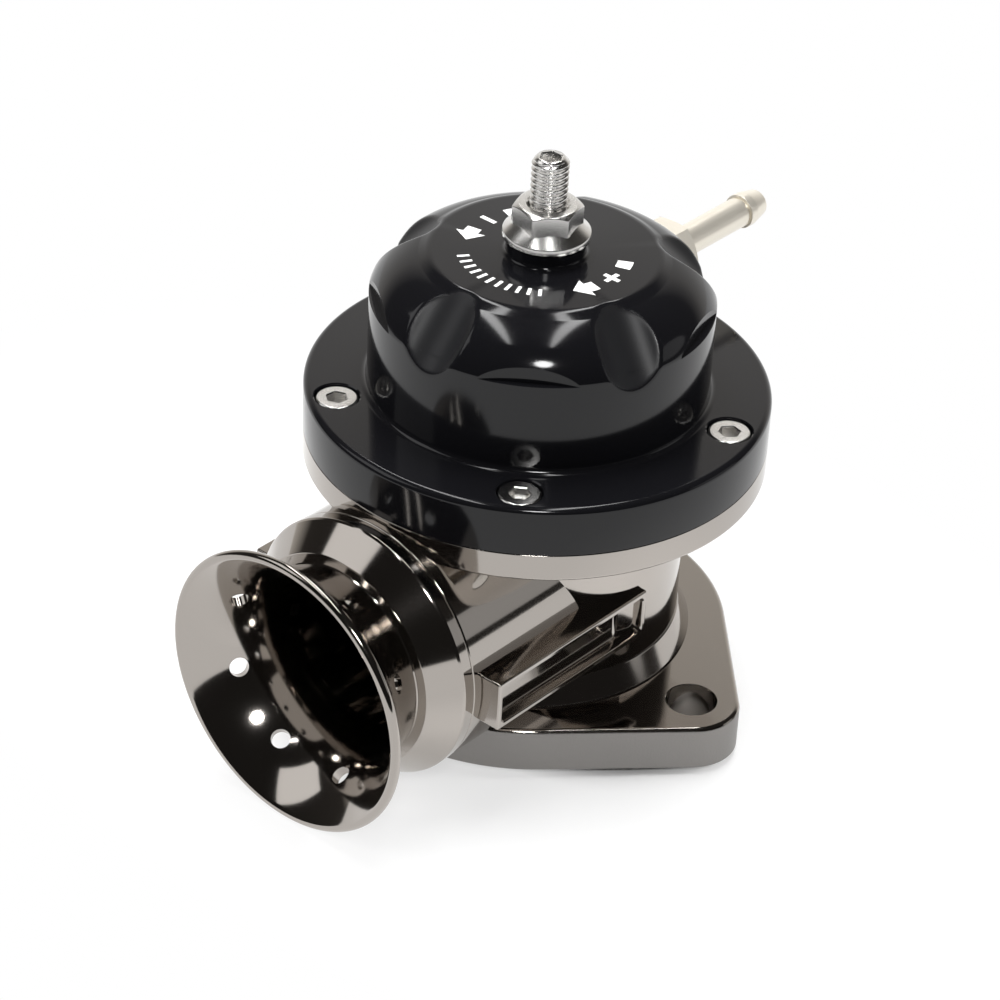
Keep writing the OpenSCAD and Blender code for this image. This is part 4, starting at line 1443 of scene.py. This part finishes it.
    def build_print(self) -> None:
        """Prints two curved arrows with a plus and a minus, and a scale of plain ticks between them."""
        r, x, long, thin = self.print_r, self.sign_x, self.sign_half, self.stroke_half
        outlines = []
        for side in (-1, 1):
            for start, end in (self.arrow_tail, self.arrow_stem):
                outlines.append(self.band(side * start, side * end))
            outlines.append(self.arrow_head(side * self.arrow_stem[1], side * self.arrow_tip))
            outlines.append(rectangle(x - thin, side * r - long, x + thin, side * r + long))
        outlines.append(rectangle(x - long, -r - thin, x - thin, -r + thin))
        outlines.append(rectangle(x + thin, -r - thin, x + long, -r + thin))
        low = self.rim_top + self.dome_h
        high = low + self.print_t
        meshes = [prism("mark", points, low, high) for points in outlines]
        half_long, half_wide = self.tick_half
        tick = prism("tick", rectangle(-half_long, -half_wide, half_long, half_wide), low, high)
        ticks = self.rings.ring("ticks", tick, self.ticks, r + self.tick_out, self.tick_start,
                                self.tick_step)
        meshes.append(taken(ticks))
        marks = object_of(meshes[0])
        marks.name = "cover_print"
        work = bmesh.new()
        for mesh in meshes:
            work.from_mesh(mesh)
        work.to_mesh(marks.data)
        work.free()
        self.finishes.deliver(marks, Body.HOUSING, "gloss_black", finish="print")


@dataclass
class Adjuster(SubAssembly):
    """The threaded adjusting screw and its flanged lock nut."""

    low_z: float = 68.02
    high_z: float = 94.5
    thread_r: float = 3.0
    thread_depth: float = 0.5
    pitch: float = 1.0
    rows_per_turn: int = 12
    crest_gain: float = 1.35
    crest_shift: float = 0.12
    bevel: float = 0.75
    socket: float = 3.0
    socket_depth: float = 4.0
    socket_flare: float = 1.12
    socket_lead: float = 0.25
    hub_top: float = 80.5
    nut_flats: float = 10.0
    nut_h: float = 5.8
    nut_flange_r: float = 7.1
    nut_flange_t: float = 1.2
    nut_bore_r: float = 3.04
    nut_lead: float = 0.4
    nut_crown: float = 0.5
    nut_edge: float = 0.15
    nut_round: Point = (0.25, 0.07)
    nut_land: Point = (0.3, 0.1)
    nut_fillet: Point = (0.25, 0.2)
    nut_corner: Point = (0.06, 0.12)
    nut_face: Point = (0.97, 0.93)
    nut_dome: float = 0.05
    nut_step: float = 0.02
    nut_slope: float = 30.0
    nut_turn: float = 46.0
    around: int = 72
    nut_around: int = 96

    def radius_at(self, z: np.ndarray, turn: np.ndarray) -> np.ndarray:
        """Radius of the thread, with rounded crests and roots and bevelled ends.

        Args:
            z: Heights.
            turn: Directions, in turns.

        Returns:
            One radius per height and direction.
        """
        wave = 0.5 + 0.5 * np.cos(2 * np.pi * (z / self.pitch - turn))
        filled = np.clip(wave * self.crest_gain - self.crest_shift, 0.0, 1.0)
        from_end = np.minimum(z - self.low_z, self.high_z - z)
        return np.minimum(self.thread_r - self.thread_depth * (1 - filled),
                          self.thread_r - self.bevel + from_end)

    def rod(self) -> Mesh:
        """The screw as a stack of rings that follow the thread, down into its socket.

        Returns:
            The mesh.
        """
        rows = int((self.high_z - self.low_z) / self.pitch * self.rows_per_turn)
        heights = np.linspace(self.low_z, self.high_z, rows + 1)
        z, t = np.meshgrid(heights, np.arange(self.around) / self.around, indexing="ij")
        radius = self.radius_at(z, t)
        loops = np.stack([radius * np.cos(2 * np.pi * t), radius * np.sin(2 * np.pi * t), z], axis=2)
        rim = hexagon_points(self.socket * self.socket_flare, self.around)
        hexagon = hexagon_points(self.socket, self.around)
        socket = [flat_loop(rim, self.high_z), flat_loop(hexagon, self.high_z - self.socket_lead),
                  flat_loop(hexagon, self.high_z - self.socket_depth)]
        return stacked("adjuster_rod", list(loops) + socket)

    def nut(self) -> Mesh:
        """The flanged nut, with its corners turned off and its bore bevelled.

        Returns:
            The mesh.
        """
        count = self.nut_around
        flats = np.array(hexagon_points(self.nut_flats, count, self.nut_turn))
        reach = np.hypot(flats[:, 0], flats[:, 1])
        low, high, inner = self.hub_top, self.hub_top + self.nut_h, self.nut_flats / 2
        rim, bore, top = self.nut_flange_r, self.nut_bore_r, self.hub_top + self.nut_flange_t
        slope = math.tan(math.radians(self.nut_slope))
        cone_z = np.maximum(top + (rim - reach) * slope, top)
        face, crown = (inner * share for share in self.nut_face)
        corner_z = high - (reach - face) * slope
        edge, lead = self.nut_edge, self.nut_lead
        drop, soft = self.nut_round
        land_in, land_up = self.nut_land
        fillet_out, fillet_up = self.nut_fillet
        corner_in, corner_down = self.nut_corner
        rows = [(bore, low + lead), (bore + lead, low), (rim - edge, low), (rim, low + edge),
                (rim, top - drop), (rim - soft, top - soft), (rim - land_in, top + land_up),
                (reach + fillet_out, np.maximum(cone_z - self.nut_step, top + land_up + self.nut_step)),
                (reach, cone_z + fillet_up), (reach, corner_z - corner_down), (reach - corner_in, corner_z),
                (face, high - self.nut_dome), (crown, high), (bore + self.nut_crown, high),
                (bore, high - self.nut_crown)]
        unit, ones = flats / reach[:, None], np.ones(count)
        loops = [np.column_stack([unit * (ones * radius)[:, None], ones * z]) for radius, z in rows]
        return mesh_of("flange_nut", np.concatenate(loops), ring_faces(len(rows), count))

    def build(self) -> None:
        """Makes the screw and the nut."""
        rod, nut = object_of(self.rod()), object_of(self.nut())
        smooth(rod, sharp_angle=50.0)
        self.finishes.deliver(rod, Body.ADJUSTER, "stainless", "adjusting_screw")
        smooth(nut, sharp_angle=26.0)
        self.finishes.deliver(nut, Body.NUT, "stainless", "lock_nut")


@dataclass
class HoseNipple(SubAssembly):
    """The vacuum nipple along +X: thread, hexagon, tube and barb."""

    axis_z: float = 64.7
    thread_x: float = 19.9
    thread_r: float = 4.0
    thread_round: float = 0.4
    hex_x: float = 28.1
    hex_t: float = 5.5
    hex_root: float = 0.5
    hex_slope: float = 30.0
    hex_face: Point = (0.98, 0.96)
    flats: float = 10.0
    tube_r: float = 2.6
    relief: float = 0.22
    relief_x: Point = (0.5, 0.4)
    barb_x: float = 51.2
    barb_r: float = 3.0
    barb_edge: float = 0.12
    barb_round: float = 0.8
    land: float = 1.6
    tip_x: float = 56.1
    tip_r: float = 2.3
    tip_round: float = 0.35
    bore_r: float = 1.5
    bore_round: float = 0.2
    around: int = 96

    def build(self) -> None:
        """Turns the nipple, then adds its hexagon and bores it."""
        place = placed(0, 0, self.axis_z, 90)
        hex_end, neck_r = self.hex_x + self.hex_t, self.tube_r - self.relief
        relief_start, relief_end = (self.barb_x - before for before in self.relief_x)
        corners = [(self.bore_r, self.thread_x, self.bore_round),
                   (self.thread_r, self.thread_x, self.thread_round),
                   (self.thread_r, self.hex_x + self.hex_root), (self.tube_r, hex_end - self.hex_root),
                   (self.tube_r, relief_start), (neck_r, relief_end), (neck_r, self.barb_x),
                   (self.barb_r, self.barb_x, self.barb_edge),
                   (self.barb_r, self.barb_x + self.land, self.barb_round),
                   (self.tip_r, self.tip_x, self.tip_round), (self.bore_r, self.tip_x, self.bore_round)]
        nipple = object_of(revolved("hose_nipple", corners, self.around, place))
        face = np.array(hexagon_points(self.flats, self.around))
        reach, half = np.hypot(face[:, 0], face[:, 1]), self.flats / 2
        bevel, flat = self.hex_face
        drop = np.maximum(reach - half * bevel, 0.0) * math.tan(math.radians(self.hex_slope))
        inset, level = face / reach[:, None] * (half * flat), np.zeros(self.around)
        rows = [(inset, level + self.hex_x), (face, self.hex_x + drop), (face, hex_end - drop),
                (inset, level + hex_end)]
        combine(nipple, stacked("hexagon", [np.column_stack(row) for row in rows], place), Cut.JOIN)
        bore = cylinder("bore", self.bore_r, self.thread_x - PAST, self.tip_x + PAST, place)
        combine(nipple, bore, Cut.REMOVE)
        smooth(nipple, sharp_angle=28.0)
        self.finishes.deliver(nipple, Body.HOUSING, "nickel", "vacuum_nipple")


@dataclass
class SoftParts(SubAssembly):
    """The spring and the diaphragm, each made in one shape, though the real ones change shape as the valve
    lifts.
    """

    spring_low: float = 42.32
    spring_high: float = 65.48
    spring_r: float = 11.0
    wire_r: float = 1.0
    turns: float = 5.5
    lift: float = 5.0
    joint_z: float = 45.2
    diaphragm_t: float = 1.2
    diaphragm_r: float = 29.78
    edge: float = 0.2
    roll_r: Point = (25.5, 24.4)
    roll_round: Point = (1.5, 2.0)
    flat_r: Point = (18.4, 18.0)
    flat_round: Point = (2.0, 1.5)
    flat_z: float = 39.6
    hole_r: float = 3.02
    around: int = 128

    def build(self) -> None:
        """Makes the spring and the diaphragm."""
        self.build_spring()
        self.build_diaphragm()

    def build_spring(self) -> None:
        """Winds the spring, which the valve presses towards its upper end."""
        span = self.spring_high - self.spring_low
        lengths = {"Length": span - 2 * self.wire_r, "Radius": self.spring_r, "Wire": self.wire_r,
                   "Low": self.spring_low + self.wire_r}
        values = {name: length * MM for name, length in lengths.items()}
        spring = Coil().make("coil_spring", {"Turns": self.turns, **values})
        smooth(spring, sharp_angle=60.0)
        self.finishes.deliver(spring, Body.HOUSING, "stainless", "spring")
        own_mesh(spring)

    def build_diaphragm(self) -> None:
        """Moulds the diaphragm, which the valve presses towards its clamped rim."""
        low, high = self.flat_z, self.flat_z + self.diaphragm_t
        base, rim = self.joint_z, self.joint_z + self.diaphragm_t
        corners = [(self.hole_r, low), (self.flat_r[0], low, self.flat_round[0]),
                   (self.roll_r[0], base, self.roll_round[0]), (self.diaphragm_r, base, self.edge),
                   (self.diaphragm_r, rim, self.edge), (self.roll_r[1], rim, self.roll_round[1]),
                   (self.flat_r[1], high, self.flat_round[1]), (self.hole_r, high)]
        sheet = object_of(revolved("diaphragm_sheet", corners, self.around))
        smooth(sheet)
        self.finishes.deliver(sheet, Body.HOUSING, "rubber", "diaphragm")
        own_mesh(sheet)


# Studio


@dataclass(frozen=True)
class Lamp:
    """A soft lamp: its place and size in metres, its power in watts, and whether gloss shows it."""

    name: str
    place: tuple[float, float, float]
    size: Point
    power: float
    in_gloss: bool = False
    shape: str = "ELLIPSE"

    def build(self, target: Vector, along: Vector) -> None:
        """Makes the lamp.

        Args:
            target: Point that the lamp looks at, in metres.
            along: Direction of the lamp's long side, as far as its view allows.
        """
        data = bpy.data.lights.new(self.name, "AREA")
        data.shape = self.shape
        data.size, data.size_y = self.size
        data.energy = self.power
        obj = bpy.data.objects.new(self.name, data)
        spot = Vector(self.place)
        back = (spot - target).normalized()
        side = along.cross(back).normalized()
        turn = Matrix((side, back.cross(side), back)).transposed().to_4x4()
        obj.matrix_world = Matrix.Translation(spot) @ turn
        obj.visible_glossy = self.in_gloss
        bpy.context.scene.collection.objects.link(obj)


@dataclass
class Studio:
    """Floor, lights, surroundings and the camera at the photograph's angle."""

    azimuth: float = -50.30
    elevation: float = 33.83
    roll: float = 3.016
    # Lengths are in metres, apart from position, sensor and floor_edge_x, in millimetres
    position: tuple[float, float, float] = (-374.39, -304.15, 353.05)
    focal_px: float = 3502.8
    frame_px: float = 1000.0
    sensor: float = 36.0
    clip_start: float = 0.01
    floor_slope: float = 0.032
    floor_edge_x: float = 34.0
    floor_r: float = 0.9
    floor_color: Color = (0.92, 0.92, 0.92)
    floor_oval: tuple[float, float, float] = (1.7, 1.0, 1.0)
    floor_fade: tuple[tuple[float, Color], ...] = (
        (0.039, (0.0, 0.0, 0.0)), (0.046, (0.58, 0.58, 0.58)), (0.14, (1.0, 1.0, 1.0)))
    far_side: tuple[float, float, float] = (0.74, 0.60, -0.30)
    room_range: Point = (-0.4, 1.0)
    room: tuple[tuple[float, Color], ...] = (
        (0.0, (0.018, 0.017, 0.016)), (0.60, (0.04, 0.037, 0.034)), (0.73, (0.64, 0.61, 0.57)),
        (1.0, (0.95, 0.94, 0.92)))
    backdrop_range: Point = (0.55, 0.95)
    backdrop_share: float = 0.5
    target: tuple[float, float, float] = (0.0, 0.0, 0.04)
    lamp_along: tuple[float, float, float] = (0.8, 0.6, 0.0)
    lamps: tuple[Lamp, ...] = (
        Lamp("overhead", (0.10, 0.15, 0.95), (0.7, 0.7), 10.0),
        Lamp("left", (-0.75, 0.55, 0.55), (0.4, 0.4), 5.0),
        Lamp("right", (0.55, -0.75, 0.60), (0.4, 0.4), 5.0),
        Lamp("left_tube", (0.068, 0.409, 1.2), (0.09, 1.7), 3.6, True),
        Lamp("right_tube", (0.318, 0.076, 1.2), (0.09, 1.7), 3.6, True),
        Lamp("window", (-0.52, 0.575, 0.68), (0.46, 0.58), 1.0, True, "RECTANGLE"),
        Lamp("right_wall", (0.60, -0.75, 0.25), (0.3, 0.5), 0.17, True),
        Lamp("flash", (-0.45, -0.41, 0.585), (0.14, 0.14), 1.6, True))

    def camera(self) -> None:
        """Places the camera as the photograph's was."""
        a, e, r = (math.radians(v) for v in (self.azimuth, self.elevation, self.roll))
        back = Vector((math.sin(a) * math.cos(e), -math.cos(a) * math.cos(e), math.sin(e)))
        right = Vector((math.cos(a), math.sin(a), 0.0))
        up = back.cross(right)
        across = math.cos(r) * right + math.sin(r) * up
        upward = math.cos(r) * up - math.sin(r) * right
        data = bpy.data.cameras.new("camera")
        data.sensor_width = self.sensor
        data.lens = self.focal_px / self.frame_px * self.sensor
        data.clip_start = self.clip_start
        obj = bpy.data.objects.new("camera", data)
        turn = Matrix((across, upward, back)).transposed().to_4x4()
        obj.matrix_world = Matrix.Translation(Vector(self.position) * MM) @ turn
        bpy.context.scene.collection.objects.link(obj)
        bpy.context.scene.camera = obj

    def floor(self) -> None:
        """A pale floor, tilted as the valve rests on it, that fades to white away from the valve."""
        mesh = bpy.data.meshes.new("floor")
        work = bmesh.new()
        bmesh.ops.create_circle(work, cap_ends=True, radius=self.floor_r, segments=128)
        work.to_mesh(mesh)
        work.free()
        obj = object_of(mesh)
        tilt = math.degrees(math.atan(self.floor_slope))
        obj.matrix_world = placed(0, 0, -self.floor_slope * self.floor_edge_x * MM, -tilt)
        material = bpy.data.materials.new("floor")
        material.use_nodes = True
        tree = material.node_tree
        tree.nodes.clear()
        where = tree.nodes.new("ShaderNodeTexCoord").outputs["Object"]
        oval = add_node(tree, "ShaderNodeVectorMath", {0: where, 1: self.floor_oval}, operation="MULTIPLY")
        away = add_node(tree, "ShaderNodeVectorMath", {0: oval.outputs[0]}, operation="LENGTH")
        fade = color_ramp(tree, away.outputs["Value"], self.floor_fade, "EASE")
        cloth = add_node(tree, "ShaderNodeBsdfDiffuse", {"Color": (*self.floor_color, 1.0)})
        white = tree.nodes.new("ShaderNodeEmission")
        mixed_output(tree, "ShaderNodeOutputMaterial", fade, cloth, white)
        mesh.materials.append(material)

    def world(self) -> None:
        """White behind the valve, and a dim room with a paler far side in its reflections."""
        world = bpy.data.worlds.new("studio")
        bpy.context.scene.world = world
        world.use_nodes = True
        tree = world.node_tree
        tree.nodes.clear()
        where = tree.nodes.new("ShaderNodeTexCoord").outputs["Generated"]
        facing = add_node(tree, "ShaderNodeVectorMath", {0: where, 1: self.far_side},
                          operation="DOT_PRODUCT").outputs["Value"]
        low, high = self.room_range
        shade = add_node(tree, "ShaderNodeMapRange", {"Value": facing, "From Min": low, "From Max": high})
        color = color_ramp(tree, shade.outputs[0], self.room, "LINEAR")
        room = add_node(tree, "ShaderNodeBackground", {"Color": color})
        white = add_node(tree, "ShaderNodeBackground", {"Color": (1.0, 1.0, 1.0, 1.0)})
        rays = tree.nodes.new("ShaderNodeLightPath").outputs
        mirrored = math_node(tree, "MAXIMUM", rays["Is Glossy Ray"], rays["Is Transmission Ray"])
        low, high = self.backdrop_range
        backdrop = add_node(tree, "ShaderNodeMapRange", {
            "Value": facing, "From Min": low, "From Max": high, "To Max": self.backdrop_share},
            interpolation_type="SMOOTHSTEP")
        seen = multiply_add(tree, mirrored, backdrop.outputs[0], rays["Is Camera Ray"])
        mixed_output(tree, "ShaderNodeOutputWorld", seen, room, white)

    def build(self) -> None:
        """Sets up the whole studio."""
        bpy.context.scene.view_settings.view_transform = "Standard"
        self.camera()
        self.floor()
        self.world()
        for lamp in self.lamps:
            lamp.build(Vector(self.target), Vector(self.lamp_along))


def main() -> None:
    """Loads the frame, builds each sub-assembly and sets up the studio."""
    logging.basicConfig(level=logging.INFO, format="%(name)s: %(message)s")
    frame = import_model()
    finishes = Finishes()
    rings = RingArray()
    Studio().build()
    finishes.dress_inner_pieces(frame)
    for kind in (ValveBody, Trumpet, Cover, Adjuster, HoseNipple, SoftParts):
        kind(finishes, rings).build()


if __name__ == "__main__":
    main()
